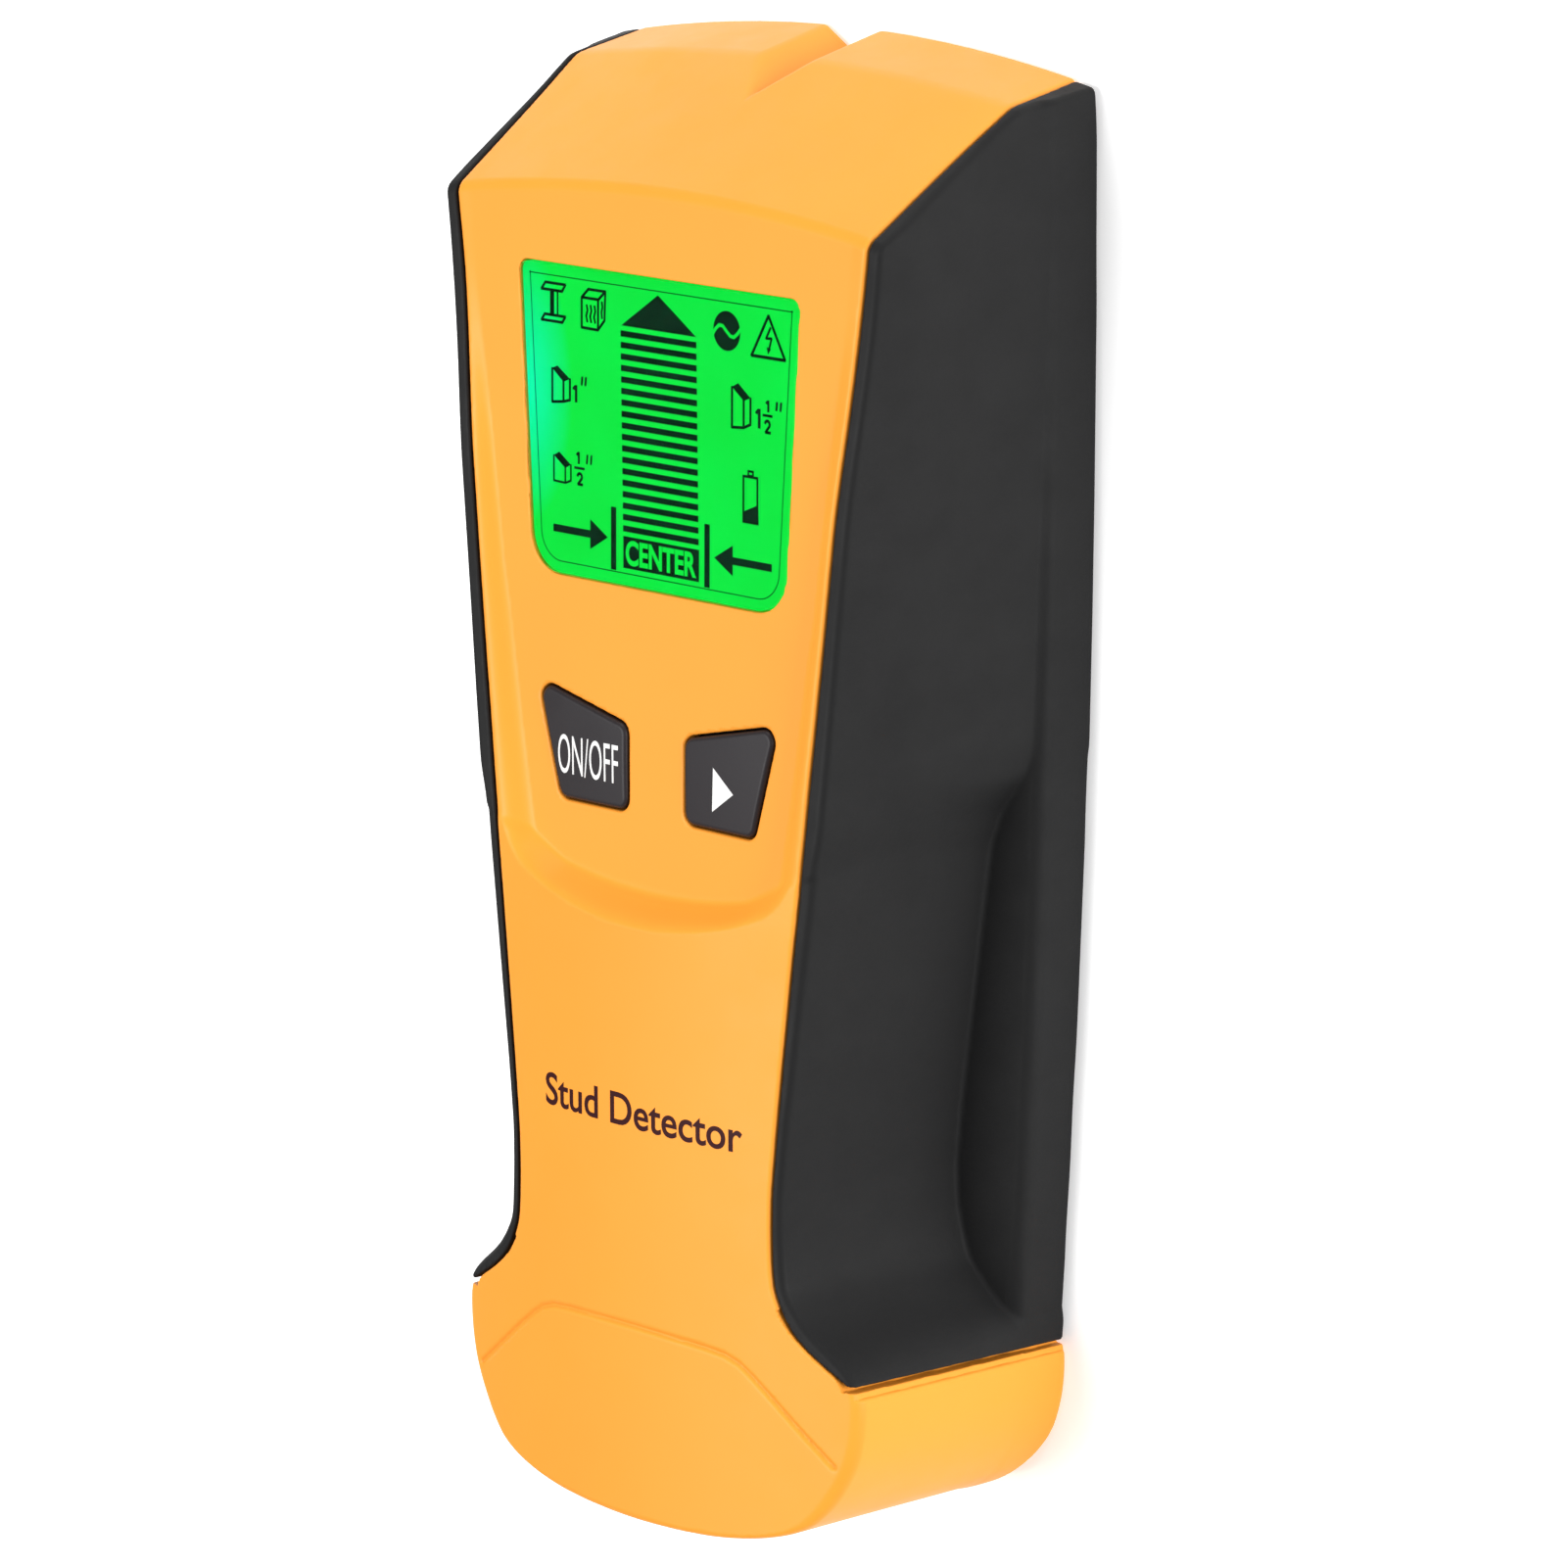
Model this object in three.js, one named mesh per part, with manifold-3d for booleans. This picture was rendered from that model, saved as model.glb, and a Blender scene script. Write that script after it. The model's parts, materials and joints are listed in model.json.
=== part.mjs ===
// Handheld multi-function wall scanner (stud finder), lying on its rear face.
// Units mm. X across the width, Y along the length (marking notch at +Y), Z out of the front face.
// The rear plane is z = 0 and the width and length are centred on the origin.
import * as THREE from 'three';
import { mergeVertices } from 'three/addons/utils/BufferGeometryUtils.js';
import Module from 'manifold-3d';

const wasm = await Module();
wasm.setup();
const { Manifold, Mesh: MMesh } = wasm;

// ---------------------------------------------------------------- driving dimensions
const GAP = 0.3;                 // clearance between separate shell parts
const WALL = 2.2;                // front cover wall
const CROWN_Z = 37.4;            // crown height of the lower front face on the centre line
const CROWN_K = 0.0034;          // crown curvature, z = CROWN_Z - CROWN_K * x^2
const FLOOR_Z0 = 32.3;           // sunken display face height at y = 70
const FLOOR_SLOPE = 0.010;       // rise of the display face per mm toward the bottom
const END_Y = 89.5;              // tip of the arched top end at the rear plane
const CREASE1_Y = 72.5, CREASE1_Z = 32.4;   // front face / bevel crease on the centre line
const CREASE2_Y = 86.8, CREASE2_Z = 11.2;   // bevel / end face crease on the centre line
const BOTTOM_Y = -89.4;          // bottom end on the centre line
const BOTTOM_R = 12;             // rear lower corner radius
const NOTCH_HALF = 4.8, NOTCH_DEPTH = 2.9;
const SEAM_Y = -65.9;            // lower end of the side grips
const FLANGE_Z = 7.7;            // thickness of the rear flange below the finger scoops
const PLATE_T = 2.4;             // rear cover thickness
const WINDOW = { x0: 21.9, x1: 24.25, y0: 24.95, y1: 62.1, rTop: 1.2, rBot: 5.0, t: 1.6 };
const KEY_TRAVEL = 1.0;
const KEY_TOP = 33.35;
const PCB_Z = 24.8, PCB_T = 1.2;
const BAY = { x: 14.6, y0: -71.6, y1: -14.6, z: 21.6, wall: 1.2 };
const DOOR = { x: 15.0, y0: -72.2, y1: -18.0, t: 1.8, axisY: -19.0, axisZ: 1.2, rEnd: 1.0 };
const BATTERY = { w: 26.2, t: 17.0, l: 46.4, y0: -69.4, z0: 3.4 };

// y, boundary x of the front cover, front edge z, outer x at the front edge, outer x at the rear,
// outer x at the scoop foot, outer x half way up the side
const SIDE = [
  [ 92.0, 37.3,  8.0, 37.9, 40.2, 39.6, 38.8],
  [ 88.2, 37.3,  8.0, 37.9, 40.3, 39.7, 38.9],
  [ 86.3, 37.5,  9.0, 38.6, 40.7, 40.1, 39.4],
  [ 84.1, 37.9, 12.1, 39.3, 40.9, 40.5, 40.0],
  [ 80.1, 37.1, 17.5, 38.7, 41.1, 40.5, 39.6],
  [ 76.1, 36.6, 23.2, 38.6, 41.1, 40.5, 39.6],
  [ 72.1, 36.2, 29.1, 38.5, 41.1, 40.4, 39.5],
  [ 70.1, 36.0, 32.0, 38.2, 41.1, 40.3, 39.3],
  [ 68.1, 35.8, 32.3, 37.9, 41.1, 40.2, 39.2],
  [ 60.0, 34.7, 32.7, 37.0, 41.2, 40.0, 38.6],
  [ 48.1, 33.3, 33.1, 35.6, 41.1, 39.6, 37.7],
  [ 36.0, 31.8, 33.6, 34.3, 41.0, 39.2, 36.9],
  [ 24.1, 30.5, 34.1, 33.0, 40.8, 38.8, 36.0],
  [ 12.0, 29.1, 34.4, 31.8, 40.5, 38.3, 35.2],
  [  8.1, 28.6, 34.5, 31.4, 40.4, 38.1, 34.9],
  [  4.6, 28.2, 34.6, 31.0, 40.2, 37.3, 34.4],
  [  0.1, 27.7, 34.7, 30.5, 40.0, 33.9, 33.0],
  [ -4.0, 27.2, 34.8, 29.3, 39.9, 32.5, 31.1],
  [ -8.0, 26.8, 34.9, 28.8, 39.7, 31.9, 30.3],
  [-16.0, 25.8, 35.1, 27.7, 39.3, 30.8, 29.2],
  [-28.0, 24.4, 35.3, 26.1, 38.7, 29.2, 27.6],
  [-36.0, 23.5, 35.5, 25.0, 38.1, 28.1, 26.5],
  [-44.0, 22.7, 35.6, 24.1, 37.7, 27.3, 25.6],
  [-49.0, 22.6, 35.6, 24.1, 37.3, 27.4, 25.7],
  [-53.0, 22.7, 35.6, 24.3, 37.0, 28.2, 26.1],
  [-56.0, 23.0, 35.5, 24.6, 36.9, 29.2, 26.9],
  [-59.9, 24.9, 35.3, 27.4, 36.6, 32.4, 29.9],
  [-62.0, 27.2, 34.9, 30.2, 36.5, 34.8, 32.6],
  [-63.9, 29.9, 34.4, 33.0, 36.3, 35.9, 34.4],
  [-65.9, 34.0, 33.6, 34.9, 36.3, 36.2, 35.7],
];
// outline of the bottom bumper: y, outer x at the front, outer x at the rear
const BUMPER = [
  [-66.6, 34.9, 36.4], [-69.0, 34.9, 36.3], [-72.5, 34.5, 35.9], [-76.0, 33.5, 34.8], [-79.0, 31.7, 33.2],
  [-82.0, 29.3, 31.0], [-84.9, 26.2, 28.2], [-87.3, 21.8, 24.5], [-89.0, 16.0, 19.5], [-93.0, 2.0, 6.0],
];
// y, inner edge of the dished border beside the display face
const DISH = [[-20, 19.0], [-11, 20.5], [-5, 21.8], [5, 23.6], [20, 26.0], [25, 27.0], [40, 29.0], [60, 32.0], [80, 34.0]];

// ---------------------------------------------------------------- helpers
const lerpTab = (tab, y, k) => {
  const t = tab[0][0] > tab[tab.length - 1][0] ? [...tab].reverse() : tab;
  if (y <= t[0][0]) return t[0][k];
  for (let i = 1; i < t.length; i++) if (y <= t[i][0]) {
    const a = t[i - 1], b = t[i], u = (y - a[0]) / (b[0] - a[0]);
    return a[k] + (b[k] - a[k]) * u;
  }
  return t[t.length - 1][k];
};
const smooth = (u) => { const t = Math.min(1, Math.max(0, u)); return t * t * (3 - 2 * t); };
const mirrorX = (pts) => pts.map(([x, y]) => [-x, y]).reverse();

function solid(positions, indices) {
  let g = new THREE.BufferGeometry();
  g.setAttribute('position', new THREE.Float32BufferAttribute(positions, 3));
  g.setIndex(indices);
  return toManifold(g);
}
function toManifold(geo) {
  let g = geo.clone();
  g.deleteAttribute('normal'); g.deleteAttribute('uv');
  g = mergeVertices(g, 1e-4);
  const m = new MMesh({ numProp: 3, vertProperties: new Float32Array(g.attributes.position.array), triVerts: new Uint32Array(g.index.array) });
  m.merge();
  return new Manifold(m);
}
// closed loft through rings of equal point count, star shaped caps around a given centre
function loft(rings, c0, c1) {
  const n = rings[0].length, pos = [], idx = [];
  rings.forEach((r) => r.forEach((p) => pos.push(...p)));
  for (let i = 0; i + 1 < rings.length; i++) for (let j = 0; j < n; j++) {
    const a = i * n + j, b = i * n + (j + 1) % n, c = a + n, d = b + n;
    idx.push(a, b, d, a, d, c);
  }
  const a0 = pos.length / 3; pos.push(...c0);
  const a1 = pos.length / 3; pos.push(...c1);
  const L = (rings.length - 1) * n;
  for (let j = 0; j < n; j++) {
    idx.push(a0, (j + 1) % n, j);
    idx.push(a1, L + j, L + (j + 1) % n);
  }
  let m = solid(pos, idx);
  if (m.volume() < 0) {
    for (let i = 0; i < idx.length; i += 3) { const t = idx[i]; idx[i] = idx[i + 1]; idx[i + 1] = t; }
    m = solid(pos, idx);
  }
  return m;
}
function prism(pts, z0, z1) {
  const s = new THREE.Shape(pts.map(([x, y]) => new THREE.Vector2(x, y)));
  const g = new THREE.ExtrudeGeometry(s, { depth: z1 - z0, bevelEnabled: false, steps: 1 });
  g.translate(0, 0, z0);
  return toManifold(g);
}
function box(x0, x1, y0, y1, z0, z1) {
  return prism([[x0, y0], [x1, y0], [x1, y1], [x0, y1]], z0, z1);
}
function circle(x, y, r, n = 20) {
  const p = [];
  for (let i = 0; i < n; i++) { const a = 2 * Math.PI * i / n; p.push([x + r * Math.cos(a), y + r * Math.sin(a)]); }
  return p;
}
const cyl = (x, y, r, z0, z1, n = 20) => prism(circle(x, y, r, n), z0, z1);
// cylinder along y
function cylY(x, z, r, y0, y1, n = 20) {
  const m = cyl(0, 0, r, 0, y1 - y0, n).rotate([-90, 0, 0]);
  return m.translate([x, y0, z]);
}
function cylX(y, z, r, x0, x1, n = 16) {
  return cyl(0, 0, r, 0, x1 - x0, n).rotate([0, 90, 0]).translate([x0, y, z]);
}
// rounds the corners of a polygon; radii per corner
function rounded(pts, radii, seg = 4) {
  const out = [], n = pts.length;
  for (let i = 0; i < n; i++) {
    const P = pts[i], A = pts[(i + n - 1) % n], B = pts[(i + 1) % n], r = Array.isArray(radii) ? radii[i] : radii;
    const ux = A[0] - P[0], uy = A[1] - P[1], vx = B[0] - P[0], vy = B[1] - P[1];
    const lu = Math.hypot(ux, uy), lv = Math.hypot(vx, vy);
    const cosT = (ux * vx + uy * vy) / (lu * lv), th = Math.acos(cosT);
    if (r <= 0) { out.push(P); continue; }
    const d = r / Math.tan(th / 2);
    const s = [P[0] + ux / lu * d, P[1] + uy / lu * d], e = [P[0] + vx / lv * d, P[1] + vy / lv * d];
    const bx = ux / lu + vx / lv, by = uy / lu + vy / lv, bl = Math.hypot(bx, by), cd = r / Math.sin(th / 2);
    const c = [P[0] + bx / bl * cd, P[1] + by / bl * cd];
    let a0 = Math.atan2(s[1] - c[1], s[0] - c[0]), a1 = Math.atan2(e[1] - c[1], e[0] - c[0]);
    let da = a1 - a0; while (da > Math.PI) da -= 2 * Math.PI; while (da < -Math.PI) da += 2 * Math.PI;
    for (let k = 0; k <= seg; k++) { const a = a0 + da * k / seg; out.push([c[0] + r * Math.cos(a), c[1] + r * Math.sin(a)]); }
  }
  return out;
}
// moves every edge of a counter-clockwise polygon outward by d
function offset(pts, d) {
  const n = pts.length, out = [];
  for (let i = 0; i < n; i++) {
    const A = pts[(i + n - 1) % n], P = pts[i], B = pts[(i + 1) % n];
    const n1 = [P[1] - A[1], A[0] - P[0]], n2 = [B[1] - P[1], P[0] - B[0]];
    const l1 = Math.hypot(...n1), l2 = Math.hypot(...n2);
    const a = [n1[0] / l1, n1[1] / l1], b = [n2[0] / l2, n2[1] / l2];
    const k = 1 + a[0] * b[0] + a[1] * b[1];
    out.push([P[0] + d * (a[0] + b[0]) / k, P[1] + d * (a[1] + b[1]) / k]);
  }
  return out;
}
function wire(points, r, seg = 22, sides = 8) {
  const curve = new THREE.CatmullRomCurve3(points.map((p) => new THREE.Vector3(...p)));
  const s = new THREE.Shape(circle(0, 0, r, sides).map(([x, y]) => new THREE.Vector2(x, y)));
  return toManifold(new THREE.ExtrudeGeometry(s, { steps: seg, bevelEnabled: false, extrudePath: curve }));
}

const group = new THREE.Group();
group.name = 'stud_finder';
function add(name, m, color, roughness = 0.5, metalness = 0) {
  const mesh = m.getMesh();
  let g = new THREE.BufferGeometry();
  const np = mesh.numProp, vp = mesh.vertProperties, pos = new Float32Array(vp.length / np * 3);
  for (let i = 0; i < vp.length / np; i++) { pos[3 * i] = vp[np * i]; pos[3 * i + 1] = vp[np * i + 1]; pos[3 * i + 2] = vp[np * i + 2]; }
  g.setAttribute('position', new THREE.BufferAttribute(pos, 3));
  g.setIndex(new THREE.BufferAttribute(new Uint32Array(mesh.triVerts), 1));
  g.computeVertexNormals();
  const o = new THREE.Mesh(g, new THREE.MeshStandardMaterial({ color, roughness, metalness }));
  o.name = name;
  group.add(o);
  return o;
}

// ---------------------------------------------------------------- outer surface
const crease1 = (x) => CREASE1_Y - 2.3 * (x / 34) ** 2;
const crease2 = (x) => CREASE2_Y - 2.6 * (x / 37) ** 2;
const endY = (x) => END_Y - 3.1 * (x / 37) ** 2;
const bottomY = (x) => BOTTOM_Y + 0.0045 * x * x;
const floorZ = (y) => FLOOR_Z0 + FLOOR_SLOPE * (70 - y);
const stepOuter = (x) => -15.4 + 0.0089 * x * x;
const stepInner = (x) => -11.2 + 0.0057 * x * x;
function frontZ(x, y) {
  const ax = Math.abs(x), crown = CROWN_Z - CROWN_K * x * x;
  const xf = lerpTab(SIDE, y, 1), xi = lerpTab(DISH, y, 1);
  const edge = CROWN_Z - CROWN_K * xf * xf;
  const zEdge = Math.min(edge, lerpTab([[40, 0], [70, 1]], y, 1) > 0 ? edge - (edge - 32.4) * smooth((y - 36) / 30) : edge);
  const dish = floorZ(y) + (zEdge - floorZ(y)) * smooth((ax - xi) / (xf - xi));
  return dish + (crown - dish) * smooth((stepInner(x) - y) / (stepInner(x) - stepOuter(x)));
}
// length profile at one x, inset by w
function profile(x, w = 0) {
  const yb = bottomY(x) + w, r = BOTTOM_R - w, p = [];
  const zTop = (y) => frontZ(x, y) - w;
  if (w) p.push([yb + BOTTOM_R + 1.0, -2]);
  for (let k = w ? 1 : 0; k <= 4; k++) { const a = Math.PI / 2 * k / 4; p.push([w && k === 1 ? yb + BOTTOM_R + 1.0 : yb + 0.9 + r - r * Math.sin(a), BOTTOM_R - r * Math.cos(a)]); }
  const zb = zTop(yb + 2.4);
  p.push([yb + 0.05, zb - 2.6], [yb + 0.75, zb - 0.75], [yb + 2.4, zb]);
  for (const y of [-80, -66, -50, -34, -22]) p.push([y, zTop(y)]);
  const so = stepOuter(x), si = stepInner(x);
  for (const u of [0, 0.2, 0.4, 0.6, 0.8, 1]) p.push([so + (si - so) * u, zTop(so + (si - so) * u)]);
  for (const y of [2, 14, 26, 38, 50, 60]) p.push([y, zTop(y)]);
  const t = w * 0.75, c1 = crease1(x) - t, c2 = crease2(x) - w, e = endY(x) - w;
  const z1 = CREASE1_Z - w * 0.45, z2 = CREASE2_Z - w * 0.1, q = (z1 - z2) / (c2 - c1);
  p.push([c1 - 1.4, zTop(c1 - 1.4)], [c1 + 0.1, z1 - 0.35], [c1 + 1.0, z1 - 1.0 * q - 0.05]);
  p.push([c2 - 0.8, z2 + 0.8 * q - 0.05], [c2 + 0.02, z2 - 0.3], [c2 + 0.35, z2 - 1.6]);
  p.push([e, w ? -2 : 0]);
  return p;
}
const XS = [0, 5, 10, 14, 17.5, 20.5, 23, 25.5, 28, 31, 34, 37, 40, 44];
const XALL = [...XS.slice(1).reverse().map((x) => -x), ...XS];
const profileSolid = (w, lim = 99) => {
  const xs = XALL.filter((x) => Math.abs(x) <= lim);
  const rings = xs.map((x) => profile(x, w).map(([y, z]) => [x, y, z]));
  return loft(rings, [xs[0], 0, 6], [xs[xs.length - 1], 0, 6]);
};
const P = profileSolid(0);

function sideRing(row) {
  const [y, xf, zf, xo, xb, x2, x3] = row;
  const z4 = zf - 1.3, z1 = Math.min(FLANGE_Z, 0.4 * z4), z2 = Math.min(9.4, 0.52 * z4), z3 = Math.min(22, 0.78 * z4);
  const scoop = y < 7 && y > -62.5;
  const r = [[xb - 0.35, -2], [xb - 0.35, 0.01], [xb, 0.7], [scoop ? xb - 0.6 : xb - 0.35, z1 - 0.5], [scoop ? xb - 1.1 : xb - 0.4, z1], [x2, z2], [x3, z3], [xo, z4 - 0.4], [xo - 0.5, z4 + 0.55], [xf + 0.5, zf], [xf + 0.35, 46]];
  return r.map(([x, z]) => [x, y, z]).concat([...r].reverse().map(([x, z]) => [-x, y, z]));
}
const bumperRows = BUMPER.map(([y, xo, xb]) => [y, xo - 1.5, 33.4 + Math.min(1.6, Math.max(0, (-66 - y) * 0.09)), xo, xb, xb - 0.35 * (xb - xo), xb - 0.66 * (xb - xo)]);
const S = loft([...SIDE, ...bumperRows].map(sideRing), [0, 92, 4], [0, -93, 4]);
const notch = loft([-2, 26].map((z) => {
  const yv = 86.6 - 0.2384 * z, k = NOTCH_HALF / NOTCH_DEPTH;
  return [[0, yv, z], [8, yv + 8 / k, z], [-8, yv + 8 / k, z]];
}), [0, 88.5, -2], [0, 82.3, 26]);
const B = Manifold.intersection(S, P).subtract(notch);

// plan boundary between front cover and grips (right side)
const boundary = SIDE.filter((r) => r[0] <= 88.3).map((r) => [r[1], r[0]]);
boundary[0] = [37.3, 94];
const coverPlan = (() => {
  const right = boundary.slice(0, -1).map(([x, y]) => [x - GAP, y]);
  const c = [...right, [33.75, SEAM_Y - GAP], [50, SEAM_Y - GAP], [50, -99]];
  return [...c, ...mirrorX(c)].reverse();
})();
const gripPlan = [...boundary, [50, SEAM_Y], [50, 94]].reverse();

// ---------------------------------------------------------------- front cover
const CAV = 2.3;
const cavityPlan = (() => {
  const right = boundary.slice(1, -1).map(([x, y]) => [x - GAP - CAV, y]);
  const c = [...right, [31.2, -68.6], [32.4, -71.5], [30.6, -76.5], [27.0, -81.0], [22.0, -84.2], [15.0, -86.0]];
  return [...c, ...mirrorX(c)].reverse();
})();
const innerTop = profileSolid(WALL);
let cavity = Manifold.intersection(prism(cavityPlan, -2, 60), innerTop);
// rear cover seat: shallow recess around the cavity
let front = Manifold.intersection(B, prism(coverPlan, -5, 60)).subtract(cavity);
// recessed band between the grip ends and the bumper
for (const s of [1, -1]) {
  const pts = [[s * 34.9, SEAM_Y + 1], [s * 34.2, -67.3], [s * 50, -67.3], [s * 50, SEAM_Y + 1]];
  front = front.subtract(prism(s > 0 ? pts.reverse() : pts, -5, 60));
}
const windowPts = (d = 0) => offset(rounded([[-WINDOW.x0, WINDOW.y0], [WINDOW.x0, WINDOW.y0], [WINDOW.x1, WINDOW.y1], [-WINDOW.x1, WINDOW.y1]], [WINDOW.rBot, WINDOW.rBot, WINDOW.rTop, WINDOW.rTop]), d);
front = front.subtract(prism(windowPts(0.25), 26, 40));
const keyPtsR = [[5.12, -2.35], [16.9, -2.4], [20.9, 11.45], [5.16, 7.95]];
const keyPts = (s, d = 0) => { const p = offset(rounded(keyPtsR, 1.4, 4), d); return s > 0 ? p : mirrorX(p); };
for (const s of [1, -1]) front = front.subtract(prism(keyPts(s, 0.35), 26, 40));
// printed groove on the lower front face
{
  const path = [[-32.2, -76.6], [-17.3, -65.1], [0, -64.4], [17.3, -65.1], [32.2, -76.6]];
  const w = 0.35, up = path.map(([x, y]) => [x, y + w]), dn = path.map(([x, y]) => [x, y - w]);
  const ring = [...dn, ...up.reverse()];
  front = front.subtract(Manifold.intersection(prism(ring, 20, 60), profileSolid(0).subtract(profileSolid(0.45))));
}
// screw bosses
const SCREWS = [[27.5, 76.5], [-27.5, 76.5], [22.0, -66.8], [-22.0, -66.8]];
const PCB_SCREWS = [[25.0, 66.6], [-25.0, 66.6], [20.2, -9.0], [-20.2, -9.0]];
let bosses = [];
for (const [x, y] of SCREWS) bosses.push(cyl(x, y, 3.1, 3.2, 36, 20));
for (const [x, y] of PCB_SCREWS) bosses.push(cyl(x, y, 2.4, PCB_Z + PCB_T + 0.1, 36, 16));
let bossM = Manifold.union(bosses);
bossM = Manifold.intersection(bossM, profileSolid(0.8));
front = Manifold.union(front, bossM);
for (const [x, y] of PCB_SCREWS) front = front.subtract(cyl(x, y, 1.15, 20, 29.9, 12));
for (const [x, y] of SCREWS) front = front.subtract(cyl(x, y, 1.45, 0, 17, 16));
// thickened wall behind the marking notch
{
  const back = loft([-2, 20].map((z) => {
    const yv = 86.6 - 0.2384 * z - 1.5;
    return [[-8.6, yv, z], [8.6, yv, z], [8.6, yv + 9, z], [-8.6, yv + 9, z]];
  }), [0, 88.5, -2], [0, 83.6, 20]);
  front = Manifold.union(front, Manifold.intersection(B, back));
}
add('front_cover', front, 0xf28a1e, 0.45);

// ---------------------------------------------------------------- side grips
for (const s of [1, -1]) {
  let g = Manifold.intersection(B, prism(gripPlan, 0.35, 60));
  if (s < 0) g = g.mirror([1, 0, 0]);
  add(s > 0 ? 'grip_right' : 'grip_left', g, 0x2c2c2f, 0.85);
}

// ---------------------------------------------------------------- rear cover with battery bay
const rearPlan = (() => {
  const right = boundary.slice(1, -1).map(([x, y]) => [x - GAP - CAV - 0.3, y]).filter(([, y]) => y < 84.5);
  const c = [[26, 84.2], [34.4, 83.2], ...right.filter(([, y]) => y < 83), [29.7, -67.6], [29.3, -69.4], [22, -71.6], [14, -72.9], [8, -73.6]];
  return [...c, ...mirrorX(c)].reverse();
})();
let rear = prism(rearPlan, 0, PLATE_T);
rear = Manifold.union([rear,
  prism([[-BAY.x - BAY.wall, BAY.y0 - BAY.wall], [BAY.x + BAY.wall, BAY.y0 - BAY.wall], [BAY.x + BAY.wall, BAY.y1 + BAY.wall], [-BAY.x - BAY.wall, BAY.y1 + BAY.wall]], 1, BAY.z + BAY.wall)]);
rear = rear.subtract(box(-BAY.x, BAY.x, BAY.y0, BAY.y1, PLATE_T, BAY.z));
rear = rear.subtract(box(-DOOR.x - 0.3, DOOR.x + 0.3, DOOR.y0 - 0.3, DOOR.y1 + 0.3, -1, PLATE_T + 0.1));
rear = rear.subtract(box(-BAY.x, BAY.x, DOOR.y1 - 0.2, BAY.y1, PLATE_T, PLATE_T + 2));
// hinge pin sockets beside the door opening
rear = rear.subtract(cylX(DOOR.axisY, DOOR.axisZ, 0.9, -17.3, 17.3));
// lead slot in the upper bay wall and latch window in the lower one
rear = rear.subtract(box(-5, 5, BAY.y1 - 1, BAY.y1 + 3, 13, 19));
rear = rear.subtract(box(-5.4, 5.4, BAY.y0 - 3, BAY.y0 + 1, 4.0, 7.0));
// finger recess at the door latch, label recess
rear = rear.subtract(box(-6, 6, DOOR.y0 - 0.9, DOOR.y0 + 0.5, -1, 1.0));
rear = rear.subtract(prism(rounded([[-22, 12], [22, 12], [22, 50], [-22, 50]], 2.0), -1, 0.45));
for (const [x, y] of SCREWS) {
  rear = Manifold.union(rear, cyl(x, y, 3.7, 0, PLATE_T, 24));
  rear = rear.subtract(cyl(x, y, 2.9, -1, 1.7, 20)).subtract(cyl(x, y, 1.6, -1, 5, 16));
}
// ribs that carry the sensor board
for (const y of [46.2, 77.4]) rear = Manifold.union(rear, box(-21, 21, y - 0.6, y + 0.6, 1.5, 5.2));
add('rear_cover', rear, 0x2a2a2d, 0.7);
add('rear_label', prism(rounded([[-21.6, 12.4], [21.6, 12.4], [21.6, 49.6], [-21.6, 49.6]], 1.8), 0.15, 0.4), 0xc9ccd0, 0.5);

// battery door: plate with rounded hinge end, two pins, latch tongue and finger rib
let door = box(-DOOR.x, DOOR.x, DOOR.y0, DOOR.axisY, 0.2, 0.2 + DOOR.t);
door = Manifold.union([door, cylX(DOOR.axisY, DOOR.axisZ, DOOR.rEnd, -DOOR.x, DOOR.x, 20), cylX(DOOR.axisY, DOOR.axisZ, 0.6, -16.9, 16.9),
  box(-4.8, 4.8, DOOR.y0 + 1.2, DOOR.y0 + 2.2, 1.0, 7.4), box(-3.2, 3.2, DOOR.y0 + 1.0, DOOR.y0 + 2.0, 4.6, 5.6)]);
for (const y of [-66, -63.5, -61]) door = door.subtract(box(-8, 8, y - 0.5, y + 0.5, -1, 0.6));
add('battery_door', door, 0x2a2a2d, 0.7);

// ---------------------------------------------------------------- display stack
const winT = floorZ(43.5) + 0.05;
add('display_window', prism(windowPts(-0.05), winT - WINDOW.t, winT), 0x0c1410, 0.08);
const lcdFrame = box(-24.6, 24.6, 23.0, 64.0, 27.0, 29.8).subtract(box(-21.6, 21.6, 26.2, 61.2, 26, 31)).subtract(box(-23.0, 23.0, 24.4, 62.6, 27.9, 31));
add('lcd_frame', lcdFrame, 0xb9bcc0, 0.35, 0.9);
add('lcd_cell', box(-22.8, 22.8, 24.6, 62.4, 27.95, 29.7), 0x12e04a, 0.3);
add('backlight_plate', box(-21.3, 21.3, 26.5, 60.9, 26.25, 27.8), 0xe8f5e6, 0.4);
add('backlight_led', box(-25.6, -21.7 + 0.0, 40.8, 46.2, 26.1, 26.9), 0xd8f2ff, 0.4);
add('zebra_strip', box(-18, 18, 21.4, 22.7, 26.1, 29.4), 0x5a5a5e, 0.7);

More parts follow.
